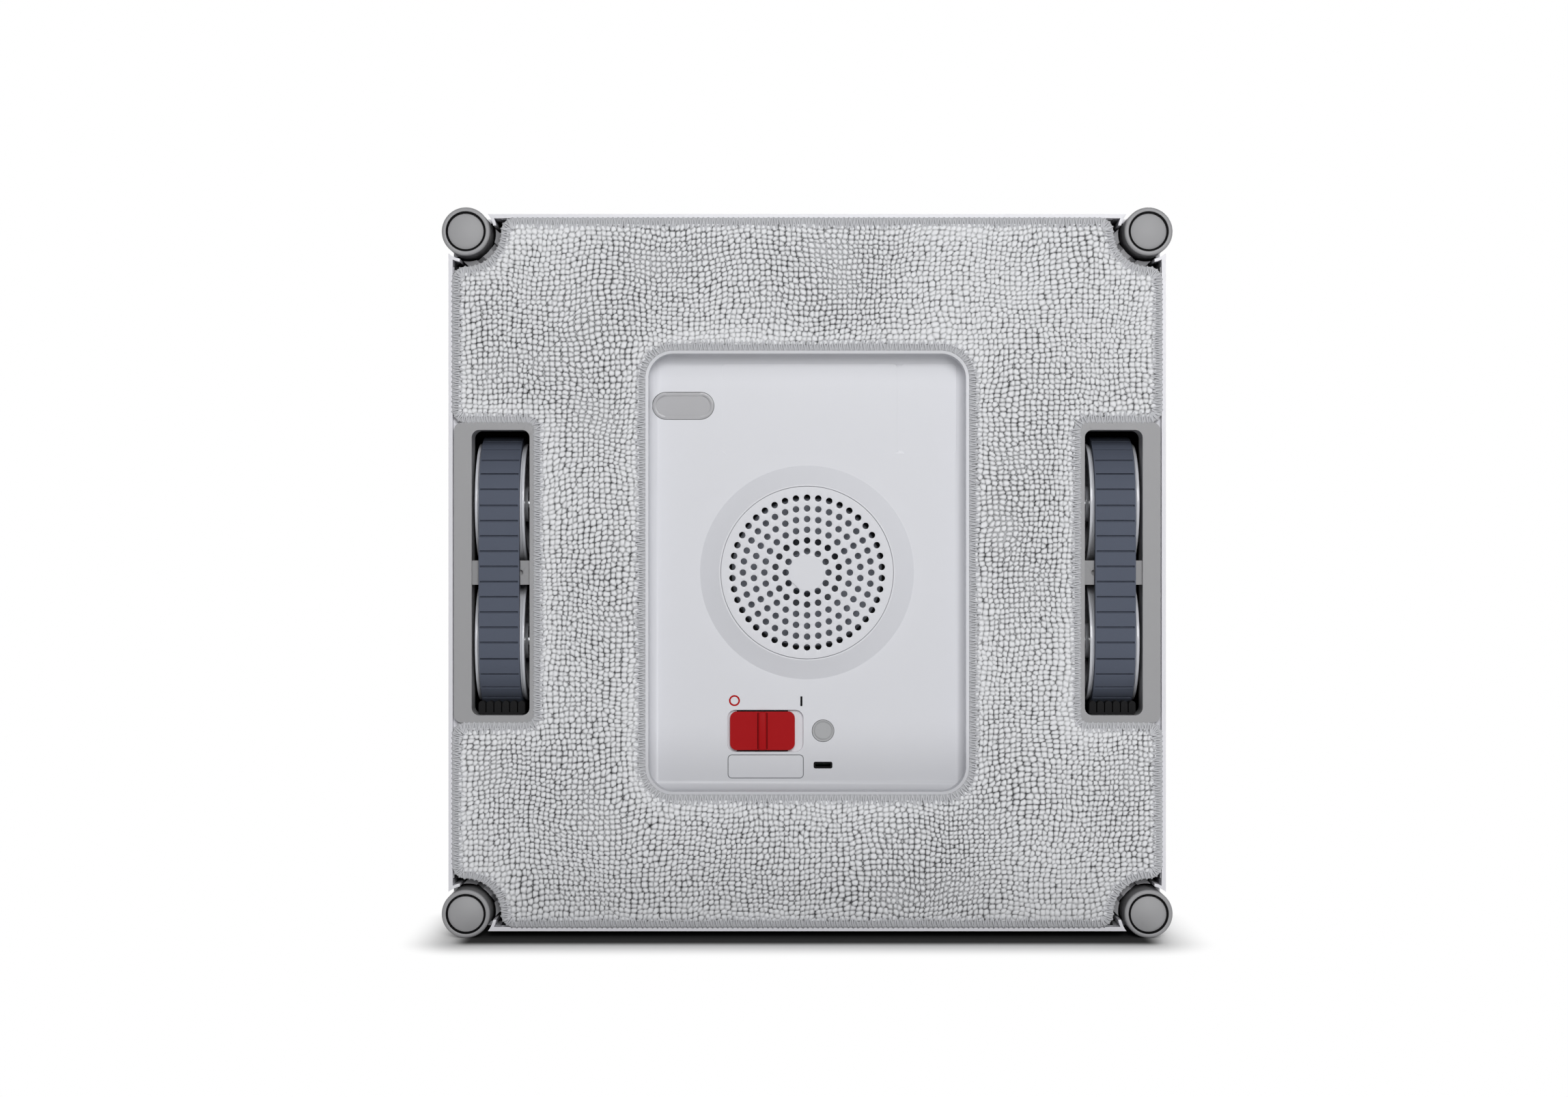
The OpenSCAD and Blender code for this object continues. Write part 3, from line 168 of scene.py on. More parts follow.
for a, b in (
    (floor_place.outputs["Object"], floor_shift.inputs[0]),
    (floor_shift.outputs["Vector"], floor_fold.inputs[0]),
    (floor_fold.outputs["Vector"], floor_off.inputs[0]),
    (floor_off.outputs["Vector"], floor_out_by.inputs[0]),
    (floor_out_by.outputs["Vector"], floor_stretch.inputs[0]),
    (floor_stretch.outputs["Vector"], floor_far.inputs[0]),
    (floor_far.outputs["Value"], floor_fade.inputs["Value"]),
    (floor_far.outputs["Value"], floor_painted_shadow.inputs["Value"]),
    (floor_painted_shadow.outputs["Result"], floor_matt.inputs["Color"]),
    (floor_rays.outputs["Is Camera Ray"], floor_shown.inputs[0]),
    (floor_rays.outputs["Is Glossy Ray"], floor_shown.inputs[1]),
    (floor_fade.outputs["Result"], floor_both.inputs[0]),
    (floor_shown.outputs[0], floor_both.inputs[1]),
    (floor_both.outputs[0], floor_blend.inputs["Fac"]),
    (floor_matt.outputs[0], floor_blend.inputs[1]),
    (floor_lift.outputs[0], floor_blend.inputs[2]),
    (floor_blend.outputs[0], floor_out.inputs["Surface"]),
):
    floor_tree.links.new(a, b)
floor.data.materials.append(floor_paint)

# Base housing: one moulded shell of lilac-white plastic with a thin rim, a
# front plate, four screw posts and two gearbox saddles. Its finish has the
# faint grain of a spark-eroded mould.


def paint(red, green, blue):
    """A colour as read off a picture, 0 to 255, in the shader's own scale."""
    scaled = [c / 255 for c in (red, green, blue)]
    return tuple(c / 12.92 if c <= 0.04045 else ((c + 0.055) / 1.055) ** 2.4 for c in scaled) + (1,)


def new_group(name, inputs, outputs):
    group = bpy.data.node_groups.new(name, "ShaderNodeTree")
    for kind, label, value in inputs:
        socket = group.interface.new_socket(label, in_out="INPUT", socket_type=kind)
        socket.default_value = value
    for kind, label in outputs:
        group.interface.new_socket(label, in_out="OUTPUT", socket_type=kind)
    return group, group.nodes.new("NodeGroupInput"), group.nodes.new("NodeGroupOutput")


moulded_skin, skin_in, skin_out = new_group(
    "moulded_skin",
    [
        ("NodeSocketColor", "Colour", (0.8, 0.8, 0.8, 1)),
        ("NodeSocketFloat", "Roughness", 0.4),
        ("NodeSocketFloat", "Grain size", 4000.0),
        ("NodeSocketFloat", "Grain depth", 0.1),
        ("NodeSocketFloat", "Tone", 0.03),
    ],
    [
        ("NodeSocketColor", "Colour"),
        ("NodeSocketFloat", "Roughness"),
        ("NodeSocketVector", "Normal"),
    ],
)
skin_place = moulded_skin.nodes.new("ShaderNodeTexCoord")
skin_grain = moulded_skin.nodes.new("ShaderNodeTexNoise")
skin_grain.inputs["Detail"].default_value = 3
skin_bump = moulded_skin.nodes.new("ShaderNodeBump")
skin_bump.inputs["Distance"].default_value = 0.00006
skin_cloud = moulded_skin.nodes.new("ShaderNodeTexNoise")
skin_cloud.inputs["Scale"].default_value = 28
skin_cloud.inputs["Detail"].default_value = 2
skin_shift = moulded_skin.nodes.new("ShaderNodeMapRange")
skin_shift.inputs["To Min"].default_value = -1
skin_shift.inputs["To Max"].default_value = 1
skin_tone = moulded_skin.nodes.new("ShaderNodeMath")
skin_tone.operation = "MULTIPLY_ADD"
skin_tone.inputs[2].default_value = 1
skin_mix = moulded_skin.nodes.new("ShaderNodeVectorMath")
skin_mix.operation = "SCALE"
skin_rough = moulded_skin.nodes.new("ShaderNodeMath")
skin_rough.operation = "MULTIPLY_ADD"
skin_rough.inputs[1].default_value = 0.05
for a, b in (
    (skin_place.outputs["Object"], skin_grain.inputs["Vector"]),
    (skin_in.outputs["Grain size"], skin_grain.inputs["Scale"]),
    (skin_grain.outputs["Fac"], skin_bump.inputs["Height"]),
    (skin_in.outputs["Grain depth"], skin_bump.inputs["Strength"]),
    (skin_bump.outputs["Normal"], skin_out.inputs["Normal"]),
    (skin_place.outputs["Object"], skin_cloud.inputs["Vector"]),
    (skin_cloud.outputs["Fac"], skin_shift.inputs["Value"]),
    (skin_shift.outputs["Result"], skin_tone.inputs[0]),
    (skin_in.outputs["Tone"], skin_tone.inputs[1]),
    (skin_in.outputs["Colour"], skin_mix.inputs[0]),
    (skin_tone.outputs[0], skin_mix.inputs["Scale"]),
    (skin_mix.outputs["Vector"], skin_out.inputs["Colour"]),
    (skin_shift.outputs["Result"], skin_rough.inputs[0]),
    (skin_in.outputs["Roughness"], skin_rough.inputs[2]),
    (skin_rough.outputs[0], skin_out.inputs["Roughness"]),
):
    moulded_skin.links.new(a, b)


def skin_material(
    name, colour, roughness, grain_size, grain_depth, tone, metallic=0.0, coat=0.0, gloss=0.25
):
    """A moulded or machined finish: the shader stays here, grain and tone come from the group."""
    material = bpy.data.materials.new(name)
    material.use_nodes = True
    tree = material.node_tree
    surface = tree.nodes["Principled BSDF"]
    surface.inputs["Metallic"].default_value = metallic
    surface.inputs["Coat Weight"].default_value = coat
    surface.inputs["Specular IOR Level"].default_value = gloss
    surface.inputs["Coat Roughness"].default_value = 0.12
    skin = tree.nodes.new("ShaderNodeGroup")
    skin.node_tree = moulded_skin
    skin.inputs["Colour"].default_value = colour
    skin.inputs["Roughness"].default_value = roughness
    skin.inputs["Grain size"].default_value = grain_size
    skin.inputs["Grain depth"].default_value = grain_depth
    skin.inputs["Tone"].default_value = tone
    tree.links.new(skin.outputs["Colour"], surface.inputs["Base Color"])
    tree.links.new(skin.outputs["Roughness"], surface.inputs["Roughness"])
    tree.links.new(skin.outputs["Normal"], surface.inputs["Normal"])
    return material


def finish_part(name, material, edge, angle=32, segments=2):
    """A CAD piece keeps its mesh and gets its finish, with its edges broken by a small round."""
    part = nodes[name]
    part.data.materials.clear()
    part.data.materials.append(material)
    for face in part.data.polygons:
        face.use_smooth = True
    weld = part.modifiers.new("join_faces", "WELD")
    weld.merge_threshold = 0.000002
    if edge > 0:
        round_edge = part.modifiers.new("broken_edges", "BEVEL")
        round_edge.width = edge
        round_edge.segments = segments
        round_edge.limit_method = "ANGLE"
        round_edge.angle_limit = math.radians(angle)
        round_edge.use_clamp_overlap = True
    split = part.modifiers.new("crisp_edges", "EDGE_SPLIT")
    split.split_angle = math.radians(40)
    level = part.modifiers.new("level_faces", "WEIGHTED_NORMAL")
    level.weight = 70
    return part


housing_white = skin_material(
    "housing_white", paint(230, 230, 235), 0.38, 5200, 0.12, 0.012, coat=0.15
)
finish_part("base_shell", housing_white, 0.00022)

# Roller pockets and track wells: black plastic boxes sunk in the housing,
# left as moulded, so they only show as dark hollows behind the wheels.
well_black = skin_material("well_black", paint(12, 12, 13), 0.5, 3800, 0.25, 0.05, gloss=0.05)
finish_part("roller_pockets", well_black, 0.00015)
finish_part("left_track_housing", well_black, 0.0003)
finish_part("right_track_housing", well_black, 0.0003)

# Corner brackets: stepped grey seats behind the rollers that hold the pad's
# notched corners, moulded in the bezels' grey.
bracket_grey = skin_material("bracket_grey", paint(150, 150, 153), 0.45, 4200, 0.2, 0.02)
finish_part("corner_brackets", bracket_grey, 0.00008)

# Corner rollers: thick grey rings of hard plastic that turn on a steel pin,
# each with a domed cap sunk in its end. The narrow dark ring round each cap
# is painted shade for the gap between cap and roller, laid on further down.
roller_grey = skin_material("roller_grey", paint(160, 160, 162), 0.42, 4600, 0.14, 0.015)
cap_grey = skin_material("cap_grey", paint(162, 162, 164), 0.55, 4600, 0.1, 0.015, gloss=0.4)
for corner in ("top_right", "top_left", "bottom_left", "bottom_right"):
    finish_part(corner + "_roller", roller_grey, 0.00025)
finish_part("roller_caps", cap_grey, 0.0003)

# Steel pins, idler pins, shafts, screws and the tether eyelet: ground bar
# with fine turning marks.
ground_steel = skin_material(
    "ground_steel", paint(196, 198, 202), 0.28, 9000, 0.1, 0.03, metallic=1.0
)
for name in ("roller_pins", "idler_pins", "left_drive_shaft", "right_drive_shaft"):
    finish_part(name, ground_steel, 0.00025)
finish_part("housing_screws", ground_steel, 0.0003)
finish_part("tether_eyelet", ground_steel, 0.0006, segments=3)

# Track bezels: grey frames with a fine grain round each well, their skirts
# reaching down inside it.
bezel_grey = skin_material("bezel_grey", paint(160, 160, 162), 0.42, 4200, 0.22, 0.02)
finish_part("left_track_bezel", bezel_grey, 0.0004, segments=3)
finish_part("right_track_bezel", bezel_grey, 0.0004, segments=3)

# Bridges: grey blocks behind the middle of each tread, fixed to the bezel's
# skirt, with an ear on either side of the belt.
bridge_grey = skin_material("bridge_grey", paint(150, 150, 152), 0.42, 4200, 0.18, 0.02)
finish_part("left_track_bridge", bridge_grey, 0.0005, segments=3)
finish_part("right_track_bridge", bridge_grey, 0.0005, segments=3)

# Treads: slate-blue rubber belts with sawn cross grooves, guide lugs inside,
# on bright wheels with a raised rim at either side.
tread_slate = skin_material("tread_slate", paint(90, 96, 110), 0.6, 3000, 0.3, 0.04, gloss=0.06)
finish_part("left_tread", tread_slate, 0.00012)
finish_part("right_tread", tread_slate, 0.00012)
wheel_bright = skin_material("wheel_bright", paint(212, 214, 220), 0.2, 5000, 0.05, 0.01, coat=0.3)
for side in ("left", "right"):
    finish_part(side + "_drive_wheel", wheel_bright, 0.0002)
    finish_part(side + "_idler_wheel", wheel_bright, 0.0002)

# Scrapers: a comb of soft dark fingers at the lower end of each well that
# wipes grit off the tread.
scraper_dark = skin_material("scraper_dark", paint(34, 34, 35), 0.7, 2600, 0.4, 0.08, gloss=0.05)
finish_part("left_tread_scraper", scraper_dark, 0.0005, segments=3)
finish_part("right_tread_scraper", scraper_dark, 0.0005, segments=3)

# Gear trains: white acetal gears, brass pinions and bushes, and plated
# gearmotors, all shut inside the housing.
gear_white = skin_material("gear_white", paint(232, 232, 226), 0.35, 5000, 0.08, 0.01)
turned_brass = skin_material(
    "turned_brass", paint(205, 170, 100), 0.3, 9000, 0.1, 0.03, metallic=1.0
)
plated_steel = skin_material(
    "plated_steel", paint(150, 152, 156), 0.34, 7000, 0.08, 0.03, metallic=1.0
)
for side in ("left", "right"):
    finish_part(side + "_drive_gear", gear_white, 0.0001)
    finish_part(side + "_motor_pinion", turned_brass, 0.0001)
    finish_part(side + "_gearmotor", plated_steel, 0.0005, segments=3)
finish_part("shaft_bushes", turned_brass, 0.0002)

# Centre tray: a shallow dish of the housing's plastic with a raised cone for
# the intake and cut-outs for the controls. Its colour is darkened towards
# the upper and lower walls as painted shade.
tray_white = skin_material("tray_white", paint(222, 223, 228), 0.4, 5200, 0.12, 0.008, coat=0.1)
tray_painted_shade = skin_material("tray_painted_shade", paint(222, 223, 228), 0.4, 5200, 0.12, 0.008, coat=0.1)
tray_tree = tray_painted_shade.node_tree
tray_part = finish_part("centre_tray", tray_painted_shade, 0.00028, angle=28)
tray_place = tray_tree.nodes.new("ShaderNodeTexCoord")
tray_axes = tray_tree.nodes.new("ShaderNodeSeparateXYZ")
tray_tree.links.new(tray_place.outputs["Object"], tray_axes.inputs[0])
tray_surface = tray_tree.nodes["Principled BSDF"]
tray_colour = tray_surface.inputs["Base Color"].links[0].from_socket
# Painted shade: the tray's colour falls to 0.78 near the lower wall and to 0.8 near the upper wall.
for wall_z, clear_z, dark in ((0.049, 0.074, 0.78), (0.1965, 0.186, 0.8)):
    wall_shade_ramp = tray_tree.nodes.new("ShaderNodeMapRange")
    wall_shade_ramp.interpolation_type = "SMOOTHSTEP"
    wall_shade_ramp.inputs["From Min"].default_value = wall_z - tray_part.matrix_world.translation.z
    wall_shade_ramp.inputs["From Max"].default_value = clear_z - tray_part.matrix_world.translation.z
    wall_shade_ramp.inputs["To Min"].default_value = dark
    tinted = tray_tree.nodes.new("ShaderNodeVectorMath")
    tinted.operation = "SCALE"
    tray_tree.links.new(tray_axes.outputs["Z"], wall_shade_ramp.inputs["Value"])
    tray_tree.links.new(tray_colour, tinted.inputs[0])
    tray_tree.links.new(wall_shade_ramp.outputs["Result"], tinted.inputs["Scale"])
    tray_colour = tinted.outputs["Vector"]
tray_tree.links.new(tray_colour, tray_surface.inputs["Base Color"])
finish_part("fan_grille", tray_white, 0.00012)

# Fan: a grey rotor behind the holes, its scroll casing, motor and the foam
# ring that seals the casing to the tray.
rotor_grey = skin_material("rotor_grey", paint(176, 180, 190), 0.5, 4000, 0.15, 0.03, gloss=0.2)
casing_dark = skin_material("casing_dark", paint(24, 24, 26), 0.5, 4000, 0.2, 0.04, gloss=0.1)
foam_black = skin_material("foam_black", paint(30, 30, 32), 0.9, 1800, 0.8, 0.1, gloss=0.05)
finish_part("fan_rotor", rotor_grey, 0.0002)
finish_part("fan_casing", casing_dark, 0.0004)
finish_part("fan_motor", plated_steel, 0.0005, segments=3)
finish_part("fan_seal", foam_black, 0.0002)

# Slide switch and service port: a satin red cap that slides in the tray's
# recess over a body of the tray's own plastic, and a small black port.
switch_red = skin_material("switch_red", paint(168, 20, 25), 0.45, 4400, 0.12, 0.01, gloss=0.06)
switch_black = skin_material("switch_black", paint(10, 10, 11), 0.5, 4000, 0.2, 0.04, gloss=0.08)
finish_part("switch_slider", switch_red, 0.0003, segments=3)
finish_part("switch_body", tray_white, 0.0002)
finish_part("service_port", switch_black, 0.0001)

# Round button and pill-shaped sensor window: smooth grey plastic let into
# the tray.
button_grey = skin_material("button_grey", paint(172, 173, 175), 0.4, 4400, 0.12, 0.01)
window_grey = skin_material("window_grey", paint(168, 168, 171), 0.3, 5000, 0.05, 0.01, coat=0.2)
finish_part("reset_button", button_grey, 0.0002, segments=3)
finish_part("sensor_window", window_grey, 0.00015, segments=3)

# Boards, battery and hook strips: lacquered green boards, a battery in blue
# shrink wrap and dark hook tape, all out of sight.
board_green = skin_material("board_green", paint(24, 92, 58), 0.35, 2500, 0.1, 0.06, coat=0.3)
wrap_blue = skin_material("wrap_blue", paint(48, 84, 140), 0.3, 1200, 0.3, 0.03, coat=0.3)
tape_dark = skin_material("tape_dark", paint(52, 52, 54), 0.85, 1500, 0.9, 0.1)
for name in ("control_board", "sensor_board", "main_board", "start_switch"):
    finish_part(name, board_green, 0.0001)
finish_part("battery_pack", wrap_blue, 0.0008, segments=3)
finish_part("hook_strips", tape_dark, 0)

# Back cover and handle: glossy white plastic with soft edges; the start
# button sits in a ring that lights up, beside the eyelet and power inlet.
cover_white = skin_material("cover_white", paint(226, 226, 230), 0.26, 5200, 0.04, 0.006, coat=0.35)
button_white = skin_material("button_white", paint(236, 236, 238), 0.3, 5200, 0.05, 0.006, coat=0.3)
ring_glow = skin_material("ring_glow", paint(176, 208, 222), 0.45, 5000, 0.05, 0.01)
finish_part("top_cover", cover_white, 0.0003)
finish_part("handle", housing_white, 0.0005, segments=3)
finish_part("start_button", button_white, 0.0004, segments=3)
finish_part("status_ring", ring_glow, 0.00015)
finish_part("power_inlet", switch_black, 0.0003)

# Cleaning pad: looped terry cloth on a backing felt, cut to the housing's
# front with notches for rollers and tracks and a window for the tray. All
# its edges are overlocked with a zigzag thread.
pad_half = 118.5
roller_mid = 114.4
notch_r = 12.25
edge_r = 4.0
side_in = 91.3
side_half = 50.6
side_r = 2.75
window_half = (54.5, 74.7)
window_r = 9.6


def arc(centre, radius, start, stop, step=0.5):
    """Points on an arc in millimetres, from start to stop in degrees."""
    count = max(3, int(abs(math.radians(stop - start)) * radius / step))
    return [
        (
            centre[0] + radius * math.cos(math.radians(start + (stop - start) * i / count)),
            centre[1] + radius * math.sin(math.radians(start + (stop - start) * i / count)),
        )
        for i in range(count + 1)
    ]


def quarter_outline():
    """The pad's outer edge in the top right quarter, from the side's notch to the top's middle."""
    low = pad_half - edge_r - roller_mid
    far = math.sqrt((notch_r + edge_r) ** 2 - low**2)
    points = [(side_in, 0.0)]
    points += arc((side_in + side_r, side_half - side_r), side_r, 180, 90)
    points += arc((pad_half - edge_r, side_half + edge_r), edge_r, -90, 0)
    points += arc((roller_mid + low, roller_mid - far), edge_r, 0, 90)
    notch_from = math.degrees(math.atan2(-far, low))
    notch_to = math.degrees(math.atan2(low, -far))
    points += arc((roller_mid, roller_mid), notch_r, notch_from, notch_to - 360)
    points += arc((roller_mid - far, roller_mid + low), edge_r, 0, 90)
    points.append((0.0, pad_half))
    return points


def even_loop(points, step):
    """The closed line through these points, again at an even spacing, in millimetres."""
    p = np.array(points + [points[0]])
    keep = np.r_[True, np.hypot(*(p[1:] - p[:-1]).T) > 1e-6]
    p = p[keep]
    run = np.r_[0, np.cumsum(np.hypot(*(p[1:] - p[:-1]).T))]
    count = int(round(run[-1] / step))
    at = np.arange(count) * run[-1] / count
    return np.column_stack([np.interp(at, run, p[:, 0]), np.interp(at, run, p[:, 1])])


def outward(loop):
    """Unit normals of an even loop, pointing to the right of its direction."""
    ahead = np.roll(loop, -1, axis=0) - np.roll(loop, 1, axis=0)
    ahead /= np.linalg.norm(ahead, axis=1)[:, None]
    return np.column_stack([ahead[:, 1], -ahead[:, 0]])


quarter = quarter_outline()
outer_points = (
    quarter
    + [(-x, y) for x, y in reversed(quarter)]
    + [(-x, -y) for x, y in quarter]
    + [(x, -y) for x, y in reversed(quarter)]
)
window_points = []
for cx, cy, turn in (
    (window_half[0] - window_r, window_half[1] - window_r, 0),
    (window_r - window_half[0], window_half[1] - window_r, 90),
    (window_r - window_half[0], window_r - window_half[1], 180),
    (window_half[0] - window_r, window_r - window_half[1], 270),
):
    window_points += arc((cx, cy), window_r, turn, turn + 90)
outer_loop = even_loop(outer_points, 0.4)
window_loop = even_loop(window_points, 0.4)
outer_normals = outward(outer_loop)
window_normals = -outward(window_loop)


half_depth = 52
half_height = 122.5


def at_face(x, y, depth):
    """A point of the working side in the robot's own frame, from millimetres."""
    return (x / 1000, (depth - half_depth) / 1000, (y + half_height) / 1000)


def set_finish(piece, material, body="housing"):
    piece.data.materials.clear()
    piece.data.materials.append(material)
    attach(piece, body)
    return piece


def mesh_from_curve(name, curve):
    """A new piece whose mesh is made from a curve."""
    holder = bpy.data.objects.new(name, curve)
    bpy.context.scene.collection.objects.link(holder)
    clear_selection()
    bpy.context.view_layer.objects.active = holder
    holder.select_set(True)
    bpy.ops.object.convert(target="MESH")
    piece = bpy.context.active_object
    piece.name = name
    return piece


cloth_fibre, fibre_in, fibre_out = new_group(
    "cloth_fibre",
    [
        ("NodeSocketColor", "Colour", (0.7, 0.7, 0.7, 1)),
        ("NodeSocketColor", "Shade", (0.2, 0.2, 0.2, 1)),
        ("NodeSocketFloat", "Gap", 0.0),
        ("NodeSocketFloat", "Fibre size", 3000.0),
        ("NodeSocketFloat", "Fibre depth", 0.5),
    ],
    [("NodeSocketColor", "Colour"), ("NodeSocketVector", "Normal")],
)
fibre_place = cloth_fibre.nodes.new("ShaderNodeTexCoord")
fibre_noise = cloth_fibre.nodes.new("ShaderNodeTexNoise")
fibre_noise.inputs["Detail"].default_value = 4
fibre_noise.inputs["Roughness"].default_value = 0.65
fibre_bump = cloth_fibre.nodes.new("ShaderNodeBump")
fibre_bump.inputs["Distance"].default_value = 0.00025
fibre_fleck = cloth_fibre.nodes.new("ShaderNodeMath")
fibre_fleck.operation = "MULTIPLY_ADD"
fibre_fleck.inputs[1].default_value = -0.35
fibre_fleck.inputs[2].default_value = 0.17
fibre_sum = cloth_fibre.nodes.new("ShaderNodeMath")
fibre_sum.operation = "ADD"
fibre_sum.use_clamp = True
fibre_mix = cloth_fibre.nodes.new("ShaderNodeMix")
fibre_mix.data_type = "RGBA"
for a, b in (
    (fibre_place.outputs["Object"], fibre_noise.inputs["Vector"]),
    (fibre_in.outputs["Fibre size"], fibre_noise.inputs["Scale"]),
    (fibre_noise.outputs["Fac"], fibre_bump.inputs["Height"]),
    (fibre_in.outputs["Fibre depth"], fibre_bump.inputs["Strength"]),
    (fibre_noise.outputs["Fac"], fibre_fleck.inputs[0]),
    (fibre_fleck.outputs[0], fibre_sum.inputs[0]),
    (fibre_in.outputs["Gap"], fibre_sum.inputs[1]),
    (fibre_sum.outputs[0], fibre_mix.inputs["Factor"]),
    (fibre_in.outputs["Colour"], fibre_mix.inputs[6]),
    (fibre_in.outputs["Shade"], fibre_mix.inputs[7]),
    (fibre_mix.outputs[2], fibre_out.inputs["Colour"]),
    (fibre_bump.outputs["Normal"], fibre_out.inputs["Normal"]),
):
    cloth_fibre.links.new(a, b)


def cloth_material(name, colour, shade, fibre_size, fibre_depth, shade_attribute=None):
    """Cloth or thread: fibres from the group, the painted shade between loops from the mesh's
    attribute.
    """
    material = bpy.data.materials.new(name)
    material.use_nodes = True
    tree = material.node_tree
    surface = tree.nodes["Principled BSDF"]
    surface.inputs["Roughness"].default_value = 0.92
    surface.inputs["Specular IOR Level"].default_value = 0.2
    surface.inputs["Sheen Weight"].default_value = 0.12
    fibre = tree.nodes.new("ShaderNodeGroup")
    fibre.node_tree = cloth_fibre
    fibre.inputs["Colour"].default_value = colour
    fibre.inputs["Shade"].default_value = shade
    fibre.inputs["Fibre size"].default_value = fibre_size
    fibre.inputs["Fibre depth"].default_value = fibre_depth
    if shade_attribute:
        gap = tree.nodes.new("ShaderNodeAttribute")
        gap.attribute_name = shade_attribute
        tree.links.new(gap.outputs["Fac"], fibre.inputs["Gap"])
    tree.links.new(fibre.outputs["Colour"], surface.inputs["Base Color"])
    tree.links.new(fibre.outputs["Normal"], surface.inputs["Normal"])
    return material


terry_grey = cloth_material(
    "terry_grey", paint(250, 251, 254), paint(40, 40, 42), 3600, 0.6, "painted_loop_shade"
)
felt_grey = cloth_material("felt_grey", paint(196, 197, 200), paint(90, 90, 93), 4200, 0.6)
thread_grey = cloth_material("thread_grey", paint(214, 215, 219), paint(140, 140, 143), 6000, 0.5)

# The backing felt is a flat outline with its window, filled, thickened and
# rounded at the edge.
felt_depth = 1.7
felt_curve = bpy.data.curves.new("pad_backing", "CURVE")
felt_curve.dimensions = "2D"
felt_curve.fill_mode = "BOTH"
for loop in (outer_loop[::2], window_loop[::2]):
    line = felt_curve.splines.new("POLY")
    line.points.add(len(loop) - 1)
    places = np.column_stack([loop / 1000, np.zeros(len(loop)), np.ones(len(loop))])
    line.points.foreach_set("co", places.ravel())
    line.use_cyclic_u = True
felt_curve.extrude = 0.0002
felt_curve.bevel_depth = 0.0005
felt_curve.bevel_resolution = 2
felt_curve.offset = -0.0001
felt = mesh_from_curve("pad_backing", felt_curve)
felt_place = Matrix.Translation(at_face(0, 0, felt_depth))
felt.data.transform(felt_place @ Matrix.Rotation(math.radians(90), 4, "X"))
set_finish(felt, felt_grey)

# The terry is a fine net of points. Every loop of yarn is a leaning oval
# bead on a warped lattice, and the net takes the highest bead at each point.
net_step = 0.34
loop_pitch = (1.82, 1.7)
terry_top = 0.12
terry_rise = 1.3
terry_border = 1.5
skirt_depth = 2.4
loop_length, loop_width = 1.07, 0.83
crease_width = 1.15

nearest = kdtree.KDTree(len(outer_loop) + len(window_loop))
edge_points = np.vstack([outer_loop, window_loop])
edge_normals = np.vstack([outer_normals, window_normals])
for i, (x, y) in enumerate(edge_points):
    nearest.insert((x, y, 0), i)
nearest.balance()

side_count = int(2 * pad_half / net_step)
line = (np.arange(side_count + 1) - side_count / 2) * net_step
net_x, net_y = np.meshgrid(line, line)
net_x, net_y = net_x.ravel(), net_y.ravel()
edge_index = np.array([nearest.find((x, y, 0))[1] for x, y in zip(net_x, net_y)])
gap_vector = np.column_stack([net_x, net_y]) - edge_points[edge_index]
edge_distance = -np.einsum("ij,ij->i", gap_vector, edge_normals[edge_index])
flat_distance = np.linalg.norm(gap_vector, axis=1)
inside = (edge_distance > 0) & (flat_distance > terry_border)

shaker = np.random.default_rng(7)


def soft_field(size, seed):
    """A smooth random field over the pad, from -1 to 1, with waves about size millimetres long."""
    waves = np.random.default_rng(seed)
    total = np.zeros(net_x.shape)
    for k in range(7):
        turn = waves.uniform(0, 2 * math.pi)
        length = size * waves.uniform(0.7, 1.6)
        way = net_x * math.cos(turn) + net_y * math.sin(turn)
        total += np.sin(2 * math.pi * way / length + waves.uniform(0, 6.3))
    return np.clip(total / 3.2, -1, 1)


warp_x = net_x + 1.3 * soft_field(46, 1) + 0.35 * soft_field(12, 2)
warp_y = net_y + 1.3 * soft_field(46, 3) + 0.35 * soft_field(12, 4)
region_turn = 1.35 + 0.75 * soft_field(60, 5)
columns = int(2 * pad_half / loop_pitch[0]) + 8
rows = int(2 * pad_half / loop_pitch[1]) + 8
shake = shaker.uniform(-0.2, 0.2, (rows, columns, 2))
lean = shaker.uniform(-0.55, 0.55, (rows, columns))
fatness = shaker.uniform(0.88, 1.14, (rows, columns))
height = shaker.uniform(0.78, 1.0, (rows, columns))
cell_x = np.floor(warp_x / loop_pitch[0]).astype(int)
cell_y = np.floor(warp_y / loop_pitch[1]).astype(int)
first = np.full(net_x.shape, 9.0)
second = np.full(net_x.shape, 9.0)
own_height = np.zeros(net_x.shape)
for dy in (-1, 0, 1):
    for dx in (-1, 0, 1):
        i = np.clip(cell_y + dy + rows // 2, 0, rows - 1)
        j = np.clip(cell_x + dx + columns // 2, 0, columns - 1)
        ux = warp_x - (cell_x + dx + 0.5 + shake[i, j, 0]) * loop_pitch[0]
        uy = warp_y - (cell_y + dy + 0.5 + shake[i, j, 1]) * loop_pitch[1]
        turn = region_turn + lean[i, j]
        along = ux * np.cos(turn) + uy * np.sin(turn)
        aside = uy * np.cos(turn) - ux * np.sin(turn)
        fat = fatness[i, j]
        reach = np.hypot(along / (loop_length * fat), aside / (loop_width * fat))
        closer = reach < first
        second = np.where(closer, first, np.minimum(second, reach))
        own_height = np.where(closer, height[i, j], own_height)
        first = np.where(closer, reach, first)
crease = np.clip((second - first) / crease_width, 0, 1)
dome = 0.3 + 0.7 * np.sqrt(crease * (2 - crease))
bead = own_height * dome * np.sqrt(np.clip(1 - (first / 1.5) ** 2, 0, 1))
swell = 0.16 * soft_field(30, 6)
rim_fall = np.clip((3.9 - flat_distance) / 2.4, 0, 1)
press = 0.8 + 0.2 * soft_field(70, 8) - 0.3 * np.clip((9 - flat_distance) / 6, 0, 1)
